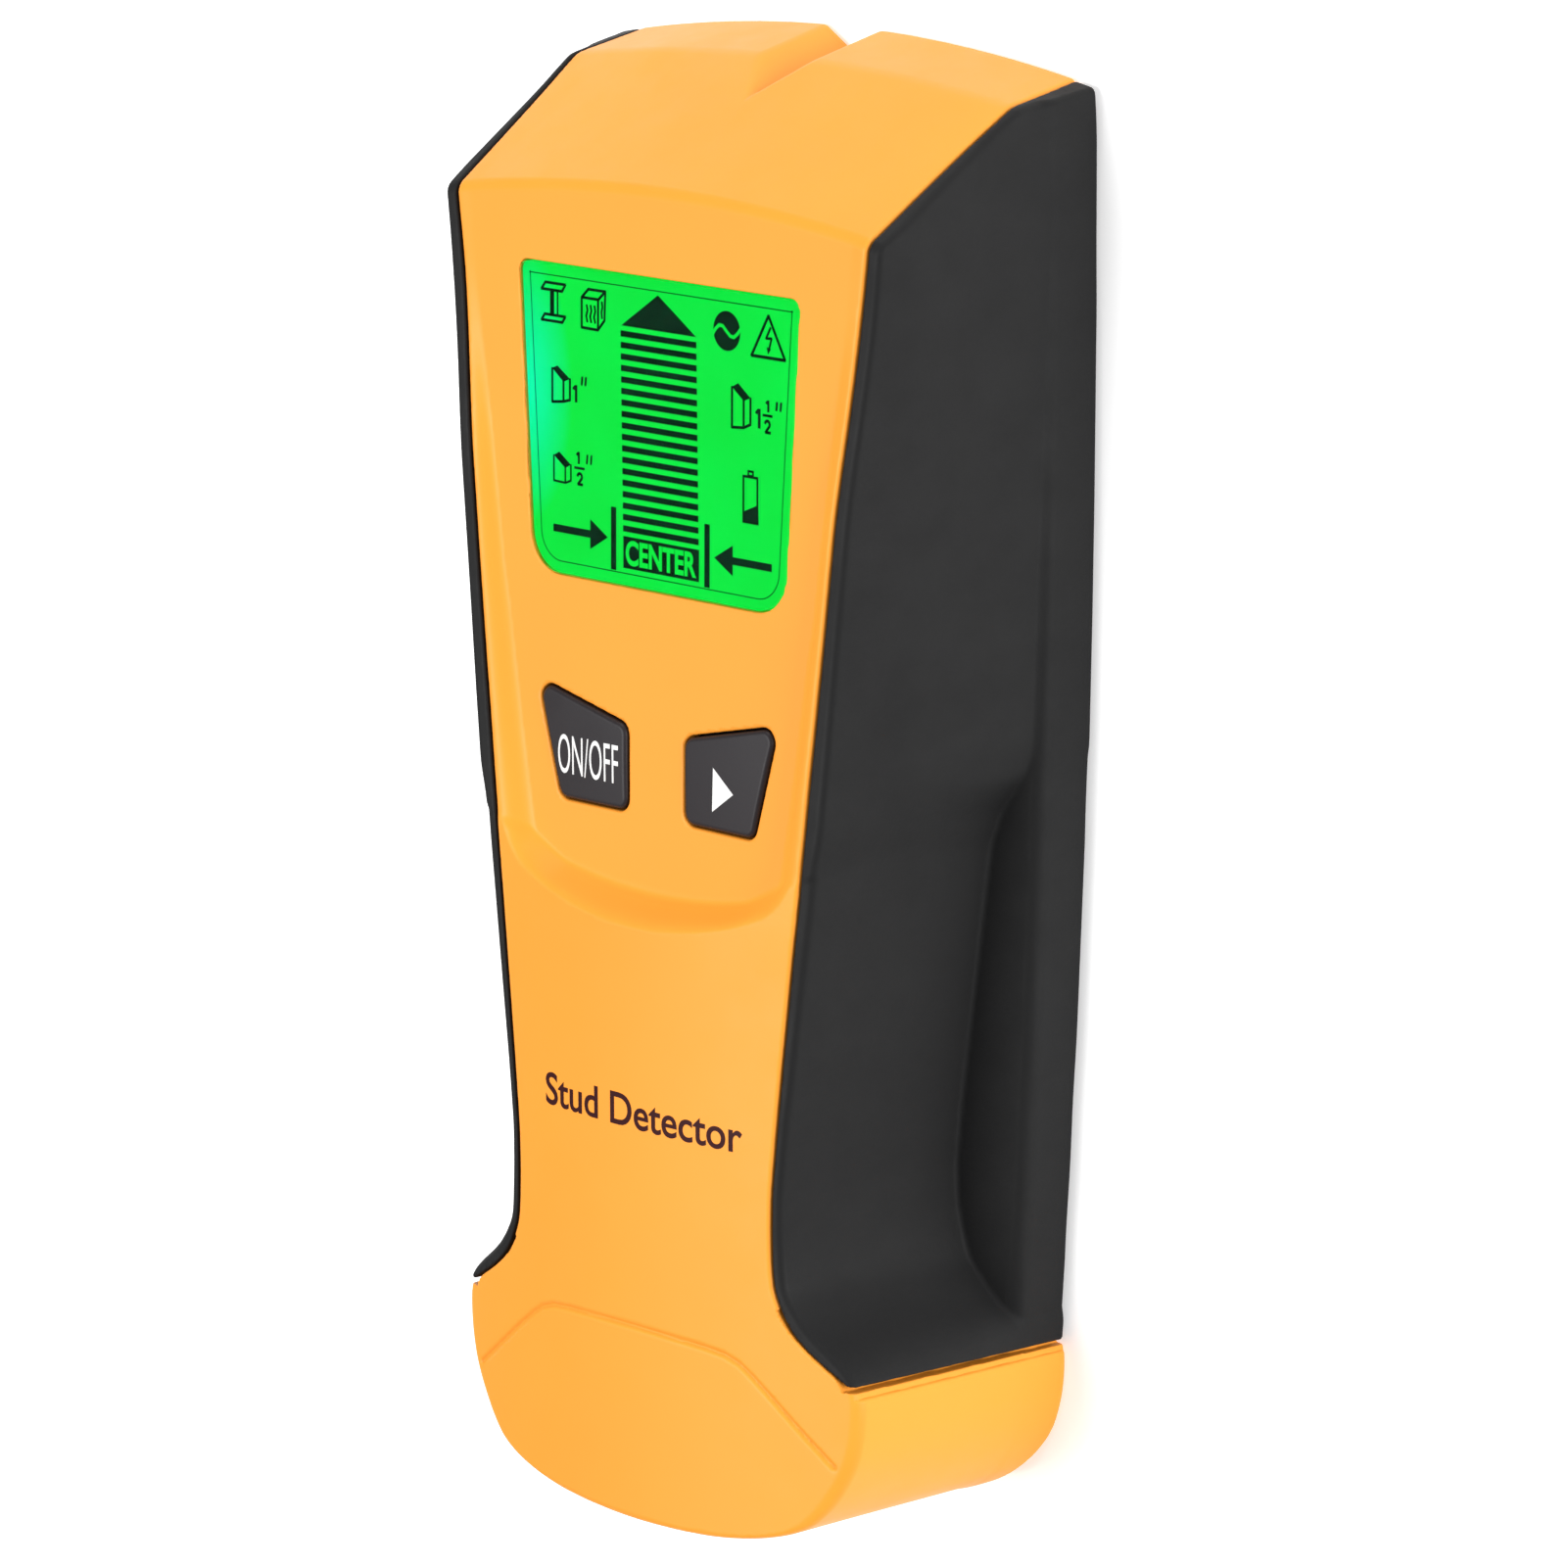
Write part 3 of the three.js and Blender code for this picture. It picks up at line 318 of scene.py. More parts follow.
# ------------------------------------------------------------------ mesher
def polygonise(fn, xs, ys, zs, project=3):
    """Quads of the zero surface of fn on a rectilinear grid, with their points moved onto the surface."""
    F = np.asarray(fn(xs[:, None, None], ys[None, :, None], zs[None, None, :]))
    F = np.broadcast_to(F, (len(xs), len(ys), len(zs))).astype(np.float32)
    F = np.where(np.abs(F) < 1e-6, 1e-6, F)
    S = F < 0
    nx, ny, nz = F.shape
    cnt = np.zeros((nx - 1, ny - 1, nz - 1), np.int8)
    for i in (0, 1):
        for j in (0, 1):
            for k in (0, 1):
                cnt += S[i:nx - 1 + i, j:ny - 1 + j, k:nz - 1 + k]
    act = (cnt > 0) & (cnt < 8)
    idx = -np.ones(act.shape, np.int64)
    ci, cj, ck = np.nonzero(act)
    idx[ci, cj, ck] = np.arange(len(ci))
    acc, num = np.zeros((len(ci), 3)), np.zeros(len(ci))
    corners = [(i, j, k) for i in (0, 1) for j in (0, 1) for k in (0, 1)]
    for a in corners:
        for ax in range(3):
            if a[ax]:
                continue
            b = list(a)
            b[ax] = 1
            fa, fb = F[ci + a[0], cj + a[1], ck + a[2]], F[ci + b[0], cj + b[1], ck + b[2]]
            m = (fa < 0) != (fb < 0)
            t = np.where(m, fa / np.where(m, fa - fb, 1), 0)
            pa = np.stack([xs[ci + a[0]], ys[cj + a[1]], zs[ck + a[2]]], 1)
            pb = np.stack([xs[ci + b[0]], ys[cj + b[1]], zs[ck + b[2]]], 1)
            acc += np.where(m[:, None], pa + (pb - pa) * t[:, None], 0)
            num += m
    P = acc / num[:, None]
    quads = []
    for ax in range(3):
        sl0, sl1 = [slice(None)] * 3, [slice(None)] * 3
        sl0[ax], sl1[ax] = slice(0, -1), slice(1, None)
        s0, s1 = S[tuple(sl0)], S[tuple(sl1)]
        inner = [slice(1, -1)] * 3
        inner[ax] = slice(None)
        d = (s0 != s1)[tuple(inner)]
        e = list(np.nonzero(d))
        inside = s0[tuple(inner)][tuple(e)]
        g = [e[q] + (0 if q == ax else 1) for q in range(3)]
        o1, o2 = (ax + 1) % 3, (ax + 2) % 3

        def cell(d1, d2):
            c = [g[0].copy(), g[1].copy(), g[2].copy()]
            c[o1] -= d1
            c[o2] -= d2
            return idx[c[0], c[1], c[2]]

        q = np.stack([cell(1, 1), cell(0, 1), cell(0, 0), cell(1, 0)], 1)
        q[~inside] = q[~inside][:, ::-1]
        quads.append(q)
    Q = np.concatenate(quads)
    lim = 0.6 * min(np.diff(xs).min(), np.diff(ys).min(), np.diff(zs).min())
    h = 0.02
    P0 = P.copy()
    N = None
    for it in range(project + 1):
        x, y, z = P[:, 0], P[:, 1], P[:, 2]
        g = np.stack([fn(x + h, y, z) - fn(x - h, y, z), fn(x, y + h, z) - fn(x, y - h, z), fn(x, y, z + h) - fn(x, y, z - h)], 1) / (2 * h)
        n2 = np.maximum((g * g).sum(1), 0.09)
        if it == project:
            N = g / np.maximum(np.linalg.norm(g, axis=1, keepdims=True), 1e-6)
            break
        step = -(fn(x, y, z) / n2)[:, None] * g
        L = np.linalg.norm(step, axis=1, keepdims=True)
        P = P + step * np.minimum(1, lim / np.maximum(L, 1e-9))
        off = P - P0
        L = np.linalg.norm(off, axis=1, keepdims=True)
        P = P0 + off * np.minimum(1, lim / np.maximum(L, 1e-9))
    return P, Q, N


def mesh_object(name, P, Q, smooth=True):
    me = bpy.data.meshes.new(name)
    P = np.asarray(P, float) * MM
    Q = np.asarray(Q)
    me.vertices.add(len(P))
    me.vertices.foreach_set("co", P.astype(np.float32).ravel())
    n = Q.shape[1]
    me.loops.add(Q.size)
    me.loops.foreach_set("vertex_index", Q.astype(np.int32).ravel())
    me.polygons.add(len(Q))
    me.polygons.foreach_set("loop_start", np.arange(0, Q.size, n, dtype=np.int32))
    me.update(calc_edges=True)
    me.validate()
    me.polygons.foreach_set("use_smooth", np.full(len(me.polygons), smooth))
    o = bpy.data.objects.new(name, me)
    bpy.context.scene.collection.objects.link(o)
    return o


def implicit(name, fn, xs, ys, zs, ratio=None):
    P, Q, N = polygonise(fn, xs, ys, zs)
    o = mesh_object(name, P, Q)
    if ratio:
        m = o.modifiers.new("thin", "DECIMATE")
        m.ratio = ratio
        dg = bpy.context.evaluated_depsgraph_get()
        me = bpy.data.meshes.new_from_object(o.evaluated_get(dg))
        old = o.data
        o.modifiers.clear()
        o.data = me
        bpy.data.meshes.remove(old)
        me.polygons.foreach_set("use_smooth", np.ones(len(me.polygons), bool))
    me = o.data
    co = np.zeros(len(me.vertices) * 3, np.float32)
    me.vertices.foreach_get("co", co)
    p = co.reshape(-1, 3).astype(float) / MM
    h = 0.06
    x, y, z = p.T
    g = np.stack([fn(x + h, y, z) - fn(x - h, y, z), fn(x, y + h, z) - fn(x, y - h, z), fn(x, y, z + h) - fn(x, y, z - h)], 1)
    g /= np.maximum(np.linalg.norm(g, axis=1, keepdims=True), 1e-9)
    vn = np.zeros(len(me.vertices) * 3, np.float32)
    me.vertices.foreach_get("normal", vn)
    vn = vn.reshape(-1, 3)
    bad = (g * vn).sum(1) < 0.6
    g[bad] = vn[bad]
    me.normals_split_custom_set_from_vertices(g.astype(np.float32).tolist())
    return o


def spans(*parts):
    """Grid coordinates from (start, step) pairs and a last end."""
    out = []
    for (a, s), b in zip(parts[:-1], [q[0] if isinstance(q, tuple) else q for q in parts[1:]]):
        n = max(1, round((b - a) / s))
        out += list(a + (b - a) * np.arange(n) / n)
    return np.array(out + [parts[-1]])


# ------------------------------------------------------------------ materials
def new_material(name):
    m = bpy.data.materials.new(name)
    m.use_nodes = True
    nt = m.node_tree
    nt.nodes.clear()
    out = nt.nodes.new("ShaderNodeOutputMaterial")
    p = nt.nodes.new("ShaderNodeBsdfPrincipled")
    nt.links.new(p.outputs[0], out.inputs[0])
    return m, nt, p


def coord(nt, scale=(1, 1, 1)):
    tc = nt.nodes.new("ShaderNodeTexCoord")
    mp = nt.nodes.new("ShaderNodeMapping")
    mp.inputs["Scale"].default_value = scale
    nt.links.new(tc.outputs["Object"], mp.inputs["Vector"])
    return mp.outputs["Vector"]


def noise(nt, vec, scale, detail=3.0, rough=0.55):
    n = nt.nodes.new("ShaderNodeTexNoise")
    n.inputs["Scale"].default_value = scale
    n.inputs["Detail"].default_value = detail
    n.inputs["Roughness"].default_value = rough
    nt.links.new(vec, n.inputs["Vector"])
    return n.outputs["Fac"]


def remap(nt, val, a0, a1, b0, b1):
    r = nt.nodes.new("ShaderNodeMapRange")
    for k, v in (("From Min", a0), ("From Max", a1), ("To Min", b0), ("To Max", b1)):
        r.inputs[k].default_value = v
    nt.links.new(val, r.inputs["Value"])
    return r.outputs["Result"]


def mix(nt, fac, c0, c1):
    n = nt.nodes.new("ShaderNodeMix")
    n.data_type = "RGBA"
    nt.links.new(fac, n.inputs["Factor"])
    for sock, c in ((n.inputs[6], c0), (n.inputs[7], c1)):
        if isinstance(c, (tuple, list)):
            sock.default_value = (*c[:3], 1)
        else:
            nt.links.new(c, sock)
    return n.outputs[2]


def bump(nt, p, height, strength, distance):
    b = nt.nodes.new("ShaderNodeBump")
    b.inputs["Strength"].default_value = strength
    b.inputs["Distance"].default_value = distance
    nt.links.new(height, b.inputs["Height"])
    nt.links.new(b.outputs["Normal"], p.inputs["Normal"])
    return b


def plastic(name, c, rough=0.45, grain=2600, depth=0.00003, strength=0.35, vary=0.06, spec=0.5, metal=0.0, coat=0.0):
    m, nt, p = new_material(name)
    v = coord(nt)
    broad = noise(nt, v, 34.0, 2.0)
    fine = noise(nt, v, grain, 2.0, 0.6)
    lo, hi = [x * (1 - vary) for x in c], [min(1, x * (1 + vary)) for x in c]
    nt.links.new(mix(nt, remap(nt, broad, 0.3, 0.7, 0, 1), lo, hi), p.inputs["Base Color"])
    nt.links.new(remap(nt, noise(nt, v, 160.0, 3.0), 0.3, 0.7, rough - 0.04, rough + 0.05), p.inputs["Roughness"])
    p.inputs["Metallic"].default_value = metal
    p.inputs["Specular IOR Level"].default_value = spec
    if coat:
        p.inputs["Coat Weight"].default_value = coat
        p.inputs["Coat Roughness"].default_value = 0.15
    bump(nt, p, fine, strength, depth)
    return m


def brushed(name, c, rough=0.3, scale=(400, 9000, 400)):
    m, nt, p = new_material(name)
    v = coord(nt, scale)
    n = noise(nt, v, 1.0, 2.0)
    nt.links.new(mix(nt, n, [x * 0.85 for x in c], c), p.inputs["Base Color"])
    nt.links.new(remap(nt, n, 0.3, 0.7, rough - 0.06, rough + 0.08), p.inputs["Roughness"])
    p.inputs["Metallic"].default_value = 1.0
    bump(nt, p, n, 0.15, 0.00001)
    return m


M = {
    "cover_orange": plastic("cover_orange", (0.90, 0.325, 0.034), 0.45, 2400, 0.00003, 0.22, 0.02, 0.2),
    "grip_black": plastic("grip_black", (0.0106, 0.0106, 0.0109), 0.62, 1900, 0.00005, 0.5, 0.03, 0.16),
    "rear_black": plastic("rear_black", (0.015, 0.015, 0.016), 0.55, 1500, 0.00004, 0.5, 0.03, 0.2),
    "key_dark": plastic("key_dark", (0.0205, 0.0175, 0.020), 0.42, 1800, 0.00003, 0.3, 0.06, 0.2),
    "diffuser_white": plastic("diffuser_white", (0.86, 0.88, 0.84), 0.3),
    "lamp_white": plastic("lamp_white", (0.9, 0.93, 0.95), 0.25),
    "contact_grey": plastic("contact_grey", (0.2, 0.2, 0.22), 0.7),
    "board_green": plastic("board_green", (0.025, 0.16, 0.06), 0.35, 900, 0.00002, 0.3, 0.15, 0.5, 0, 0.4),
    "chip_black": plastic("chip_black", (0.018, 0.018, 0.02), 0.5, 3000),
    "sleeve_blue": plastic("sleeve_blue", (0.03, 0.06, 0.2), 0.3),
    "switch_black": plastic("switch_black", (0.02, 0.02, 0.022), 0.5),
    "plunger_red": plastic("plunger_red", (0.3, 0.04, 0.02), 0.4),
    "ferrite": plastic("ferrite", (0.045, 0.045, 0.05), 0.6, 900),
    "connector_ivory": plastic("connector_ivory", (0.78, 0.74, 0.6), 0.45),
    "battery_case": plastic("battery_case", (0.06, 0.10, 0.19), 0.3, 500, 0.00001, 0.2, 0.05, 0.5, 0.4, 0.3),
    "snap_black": plastic("snap_black", (0.016, 0.016, 0.018), 0.5),
    "lead_red": plastic("lead_red", (0.5, 0.015, 0.012), 0.35),
    "lead_black": plastic("lead_black", (0.018, 0.018, 0.018), 0.35),
    "foam_grey": plastic("foam_grey", (0.07, 0.07, 0.07), 0.95, 700, 0.0003, 1.0, 0.3, 0.1),
    "label_silver": plastic("label_silver", (0.5, 0.51, 0.53), 0.32, 1200, 0.00001, 0.2, 0.04, 0.5, 0.6),
    "print_white": plastic("print_white", (0.80, 0.80, 0.79), 0.5),
    "print_dark": plastic("print_dark", (0.035, 0.005, 0.006), 0.5, 2600, 0.00001, 0.2, 0.05, 0.1),
    "bezel_steel": brushed("bezel_steel", (0.62, 0.63, 0.65)),
    "can_steel": brushed("can_steel", (0.7, 0.71, 0.73), 0.22),
    "screw_steel": brushed("screw_steel", (0.5, 0.51, 0.53), 0.3, (900, 900, 900)),
    "copper_plate": brushed("copper_plate", (0.75, 0.38, 0.2), 0.35),
    "coil_wire": brushed("coil_wire", (0.55, 0.22, 0.08), 0.3, (50, 50, 4000)),
    "nickel": brushed("nickel", (0.78, 0.79, 0.8), 0.16, (600, 600, 600)),
}

# lit display: green with a cooler bright patch near the lamp at its left edge
m, nt, p = new_material("lcd_green")
tc = nt.nodes.new("ShaderNodeTexCoord")
mp = nt.nodes.new("ShaderNodeMapping")
mp.inputs["Location"].default_value = (0.0354, -0.0352, -0.0325)
mp.inputs["Scale"].default_value = (1.5, 0.75, 1)
nt.links.new(tc.outputs["Object"], mp.inputs["Vector"])
ln = nt.nodes.new("ShaderNodeVectorMath")
ln.operation = "LENGTH"
nt.links.new(mp.outputs["Vector"], ln.inputs[0])
spot = remap(nt, ln.outputs["Value"], 0.001, 0.0125, 1.0, 0.0)
soft_n = noise(nt, coord(nt), 60.0, 2.0)
g0 = mix(nt, remap(nt, soft_n, 0.3, 0.7, 0, 1), (0.0, 0.80, 0.035), (0.0, 0.87, 0.05))
g1 = mix(nt, spot, g0, (0.0, 1.0, 0.48))
nt.links.new(g1, p.inputs["Emission Color"])
p.inputs["Emission Strength"].default_value = 0.92
p.inputs["Base Color"].default_value = (0.0, 0.05, 0.01, 1)
nt.links.new(remap(nt, soft_n, 0.3, 0.7, 0.5, 0.6), p.inputs["Roughness"])
p.inputs["Specular IOR Level"].default_value = 0.03
M["lcd_green"] = m

m, nt, p = new_material("lcd_ink")
v = coord(nt)
nt.links.new(mix(nt, noise(nt, v, 300.0), (0.0, 0.010, 0.004), (0.0, 0.022, 0.008)), p.inputs["Base Color"])
p.inputs["Roughness"].default_value = 0.6
p.inputs["Specular IOR Level"].default_value = 0.02
M["lcd_ink"] = m

m, nt, p = new_material("window_clear")
v = coord(nt)
nt.links.new(mix(nt, noise(nt, v, 90.0), (0.97, 1.0, 0.97), (1, 1, 1)), p.inputs["Base Color"])
nt.links.new(remap(nt, noise(nt, v, 240.0), 0.3, 0.7, 0.015, 0.04), p.inputs["Roughness"])
p.inputs["Transmission Weight"].default_value = 1.0
p.inputs["IOR"].default_value = 1.09
M["window_clear"] = m


def paint(o, slot):
    o.data.materials.clear()
    o.data.materials.append(M[slot])


slots = {s["node"]: s["material_slot"] for s in frame["record"]["subparts"]}
for n, o in nodes.items():
    paint(o, slots[n])


def own(o, slot, body="housing", node=None, mat=None):
    paint(o, mat or slot)
    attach(o, body)
    if node:
        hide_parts(*([node] if isinstance(node, str) else node))
    return o


# ------------------------------------------------------------------ casing
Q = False
s = 1.5 if Q else 1.0
cover = implicit(
    "cover_shell", f_cover,
    spans((-38.2, 0.42 * s), 38.2),
    spans((-90.0, 0.42 * s), (-80.0, 0.32 * s), (-68.4, 0.17 * s), (-65.0, 0.32 * s), (-62.0, 0.45 * s), (60, 0.36 * s), 90.2),
    spans((-0.45, 0.3), (0.6, 0.75 * s), (27.0, 0.3 * s), 38.0),
    None if Q else 0.55)
own(cover, "cover_orange", node="front_cover")

gr = implicit(
    "grip_shell_right", f_grip,
    spans((22.0, 0.36 * s), 41.8),
    spans((-66.6, 0.3 * s), (-60.0, 0.45 * s), (-10, 0.35 * s), (12, 0.5 * s), (66, 0.35 * s), 88.0),
    spans((0.0, 0.2), (1.2, 0.4 * s), (12, 0.55 * s), (31.0, 0.3 * s), 36.2),
    None if Q else 0.5)
own(gr, "grip_black", node="grip_right")
# the left grip is the right one mirrored, with its faces turned round
me = gr.data.copy()
co = np.zeros(len(me.vertices) * 3, np.float32)
me.vertices.foreach_get("co", co)
pts = co.reshape(-1, 3).copy()
pts[:, 0] *= -1
faces = [list(pl.vertices)[::-1] for pl in me.polygons]
ml = bpy.data.meshes.new("grip_shell_left")
ml.from_pydata(pts.tolist(), [], faces)
ml.update()
ml.polygons.foreach_set("use_smooth", np.ones(len(ml.polygons), bool))
gl = bpy.data.objects.new("grip_shell_left", ml)
bpy.context.scene.collection.objects.link(gl)
pm = pts.astype(float) / MM
h = 0.06
x, y, z = -pm[:, 0], pm[:, 1], pm[:, 2]
g = np.stack([-(f_grip(x + h, y, z) - f_grip(x - h, y, z)), f_grip(x, y + h, z) - f_grip(x, y - h, z), f_grip(x, y, z + h) - f_grip(x, y, z - h)], 1)
g /= np.maximum(np.linalg.norm(g, axis=1, keepdims=True), 1e-9)
vn = np.zeros(len(ml.vertices) * 3, np.float32)
ml.vertices.foreach_get("normal", vn)
vn = vn.reshape(-1, 3)
bad = (g * vn).sum(1) < 0.6
g[bad] = vn[bad]
ml.normals_split_custom_set_from_vertices(g.astype(np.float32).tolist())
own(gl, "grip_black", node="grip_left")
bpy.data.meshes.remove(me)

# ------------------------------------------------------------------ keys
KEY_TOP = 33.35


def f_key(x, y, z, poly, cx):
    sd = sd_poly(x, y, poly)
    crown = KEY_TOP - 0.0022 * (x - cx) ** 2 - 0.003 * (y - 3.4) ** 2
    f = rmax(sd + 0 * z, (z - crown) * 0.98, 0.55)
    skirt = np.maximum(sd - 0.9, z - 30.3)
    f = np.minimum(f, skirt)
    f = np.maximum(f, 29.6 - z)
    hollow = np.maximum(sd + 1.4, z - 31.0)
    stem = np.hypot(x - cx, y - 3.7) - 2.2
    f = np.maximum(f, -np.maximum(hollow, -stem))
    return np.minimum(f, np.maximum(stem, np.maximum(28.75 - z, z - 31.5)))


for nm, poly, cx in (("power_key", KEY_L, -11.9), ("mode_key", KEY_R, 11.9)):
    x0, x1 = min(p[0] for p in poly) - 1.4, max(p[0] for p in poly) + 1.4
    fn = (lambda x, y, z, poly=poly, cx=cx: f_key(x, y, z, poly, cx))
    k = implicit(nm + "_cap", fn, spans((x0, 0.22 * s), x1), spans((-4.0, 0.22 * s), 12.6), spans((28.4, 0.35), (32.0, 0.14), 33.6), None if Q else 0.5)
    own(k, "key_dark", "power_button" if nm == "power_key" else "mode_button", nm)


# ------------------------------------------------------------------ thin prints
def outline_piece(name, loops, z0, z1, slot, body, mat=None, follow=None, holes=()):
    """Closed thin pieces from 2-D outlines in millimetres."""
    bm = bmesh.new()
    for loop in loops:
        vs = [bm.verts.new((px, py, z0)) for px, py in loop]
        f = bm.faces.new(vs)
        if f.normal.z > 0 or True:
            f.normal_update()
        if f.normal.z > 0:
            f.normal_flip()
        r = bmesh.ops.extrude_face_region(bm, geom=[f])
        for e in r["geom"]:
            if isinstance(e, bmesh.types.BMVert):
                e.co.z = z1
    bmesh.ops.recalc_face_normals(bm, faces=bm.faces)
    if follow:
        for v in bm.verts:
            v.co.z = follow(v.co.x, v.co.y) + (v.co.z)
    for v in bm.verts:
        v.co *= MM
    bmesh.ops.triangulate(bm, faces=[f for f in bm.faces if len(f.verts) > 4])
    me = bpy.data.meshes.new(name)
    bm.to_mesh(me)
    bm.free()
    o = bpy.data.objects.new(name, me)
    bpy.context.scene.collection.objects.link(o)
    return own(o, slot, body, mat=mat)


def text_piece(name, body_text, x, y, height, width, z0, z1, slot, body, mat=None, follow=None, bold=0.0, angle=0.0, rear=False):
    """Lettering fitted to a box of the given width and height, centred on x, y, in millimetres."""
    cu = bpy.data.curves.new(name, "FONT")
    cu.body = body_text
    cu.size = 1.0
    cu.offset = bold
    cu.extrude = 0.01
    cu.resolution_u = 6
    o = bpy.data.objects.new(name + "_src", cu)
    bpy.context.scene.collection.objects.link(o)
    bpy.context.view_layer.update()
    dg = bpy.context.evaluated_depsgraph_get()
    me = bpy.data.meshes.new_from_object(o.evaluated_get(dg))
    bpy.data.objects.remove(o)
    co = np.array([v.co for v in me.vertices], float)
    lo, hi = co.min(0), co.max(0)
    c = (lo + hi) / 2
    px = (co[:, 0] - c[0]) / (hi[0] - lo[0]) * width
    py = (co[:, 1] - c[1]) / (hi[1] - lo[1]) * height
    if rear:
        px = -px
    ca, sa = math.cos(angle), math.sin(angle)
    qx, qy = px * ca - py * sa + x, px * sa + py * ca + y
    top = (co[:, 2] > c[2]) != rear
    qz = np.where(top, z1, z0)
    if follow:
        qz = qz + np.array([follow(a, b) for a, b in zip(qx, qy)])
    for i, v in enumerate(me.vertices):
        v.co = (qx[i] * MM, qy[i] * MM, float(qz[i]) * MM)
    bm = bmesh.new()
    bm.from_mesh(me)
    bmesh.ops.remove_doubles(bm, verts=bm.verts, dist=1e-7)
    bmesh.ops.recalc_face_normals(bm, faces=bm.faces)
    bm.to_mesh(me)
    bm.free()
    me.name = name
    me.materials.clear()
    o = bpy.data.objects.new(name, me)
    bpy.context.scene.collection.objects.link(o)
    return own(o, slot, body, mat=mat)


def ring_loops(outer, inner, n=None):
    """A ring as quads between two outlines of equal point count."""
    k = len(outer)
    return [[outer[i], outer[(i + 1) % k], inner[(i + 1) % k], inner[i]] for i in range(k)]


text_piece("power_key_legend", "ON/OFF", -11.75, 3.05, 4.8, 10.7, -0.05, 0.035, "print_white", "power_button", bold=-0.004, follow=lambda a, b: KEY_TOP - 0.0022 * (a + 11.9) ** 2 - 0.003 * (b - 3.4) ** 2)
outline_piece("mode_key_arrow", [[(10.4, 5.25), (13.85, 2.5), (10.2, -0.1)]], KEY_TOP - 0.07, KEY_TOP + 0.0, "print_white", "mode_button")


def on_front(px, py):
    return float(front_z(np.float64(px), np.float64(py)))


text_piece("front_print", "Stud Detector", 1.0, -37.8, 4.1, 34.6, -0.03, 0.03, "print_dark", "housing", follow=on_front, bold=0.012)

# display: lit sheet, printed segments and a thin clear pane, all following the display face


def on_floor(px, py):
    return FLOOR_Z0 + FLOOR_SLOPE * (70 - py) - 0.04


Z_SHEET, Z_INK = -0.42, -0.405


def lx(u):
    return u / 26.0 - 27.0 - 0.25


def ly(v):
    return 62.0 - v / 26.0 + 4.1


def rect(u0, v0, u1, v1):
    return [(lx(u0), ly(v1)), (lx(u1), ly(v1)), (lx(u1), ly(v0)), (lx(u0), ly(v0))]


def poly(*pts):
    return [(lx(u), ly(v)) for u, v in pts]


bars = []
for i in range(18):
    vc = 287 + i * 35.7
    uc = 706 + i * 0.7
    bars.append(rect(uc - 172, vc - 9.5, uc + 172, vc + 9.5))
shapes = [
    poly((704, 152), (877, 262), (537, 262)),
    rect(490, 833, 514, 1030), rect(916, 833, 940, 1030),
    rect(222, 920, 396, 944), poly((394, 885), (475, 932), (394, 979)),
    rect(1040, 920, 1217, 944), poly((1043, 885), (960, 932), (1043, 979)),
    rect(547, 918, 892, 1018),
    poly((1086, 775), (1156, 746), (1158, 808), (1086, 808)),
    rect(208, 187, 227, 266),
    poly((218, 430), (242, 420), (300, 456), (270, 468)),
    poly((225, 703), (250, 690), (304, 725), (278, 738)),
    poly((1038, 396), (1065, 382), (1120, 422), (1090, 434)),
]
outline_piece("display_bars", bars, Z_INK, Z_INK + 0.012, "lcd_green", "housing", mat="lcd_ink", follow=on_floor)
outline_piece("display_marks", shapes, Z_INK, Z_INK + 0.012, "lcd_green", "housing", mat="lcd_ink", follow=on_floor)


def frame_loops(u0, v0, u1, v1, w):
    return [rect(u0, v0, u1, v0 + w), rect(u0, v1 - w, u1, v1), rect(u0, v0 + w, u0 + w, v1 - w), rect(u1 - w, v0 + w, u1, v1 - w)]


def arc_pts(cu, cv, r, a0, a1, n):
    return [(cu + r * math.cos(math.radians(a0 + (a1 - a0) * i / n)), cv + r * math.sin(math.radians(a0 + (a1 - a0) * i / n))) for i in range(n + 1)]


def stroke(pts, w):
    out = []
    for a, b in zip(pts[:-1], pts[1:]):
        dx, dy = b[0] - a[0], b[1] - a[1]
        L = math.hypot(dx, dy)
        nx_, ny_ = -dy / L * w / 2, dx / L * w / 2
        ex, ey = dx / L * w * 0.25, dy / L * w * 0.25
        out.append(poly((a[0] + nx_ - ex, a[1] + ny_ - ey), (a[0] - nx_ - ex, a[1] - ny_ - ey), (b[0] - nx_ + ex, b[1] - ny_ + ey), (b[0] + nx_ + ex, b[1] + ny_ + ey)))
    return out


lines = []
# beam
lines += stroke([(168, 186), (186, 164), (279, 164), (264, 186), (168, 186)], 9)
lines += stroke([(168, 283), (183, 264), (279, 264), (265, 283), (168, 283)], 9) + stroke([(243, 190), (243, 262)], 7)
# timber block with grain
lines += stroke([(355, 194), (386, 166), (464, 166), (432, 194), (355, 194), (355, 288), (430, 289), (460, 256), (464, 166)], 9) + stroke([(431, 194), (430, 289)], 9)
for gx0 in (378, 396, 414):
    lines += stroke([(gx0, 216), (gx0 + 4, 232), (gx0 - 2, 250), (gx0 + 3, 268)], 8)
lines += stroke([(448, 200), (451, 216), (446, 232), (449, 250)], 8)
# warning triangle with a plain bolt
lines += stroke([(1198, 162), (1272, 290), (1124, 290), (1198, 162)], 10)
lines += stroke([(1207, 198), (1188, 232), (1212, 230), (1200, 268)], 8) + [poly((1190, 258), (1210, 262), (1197, 280))]
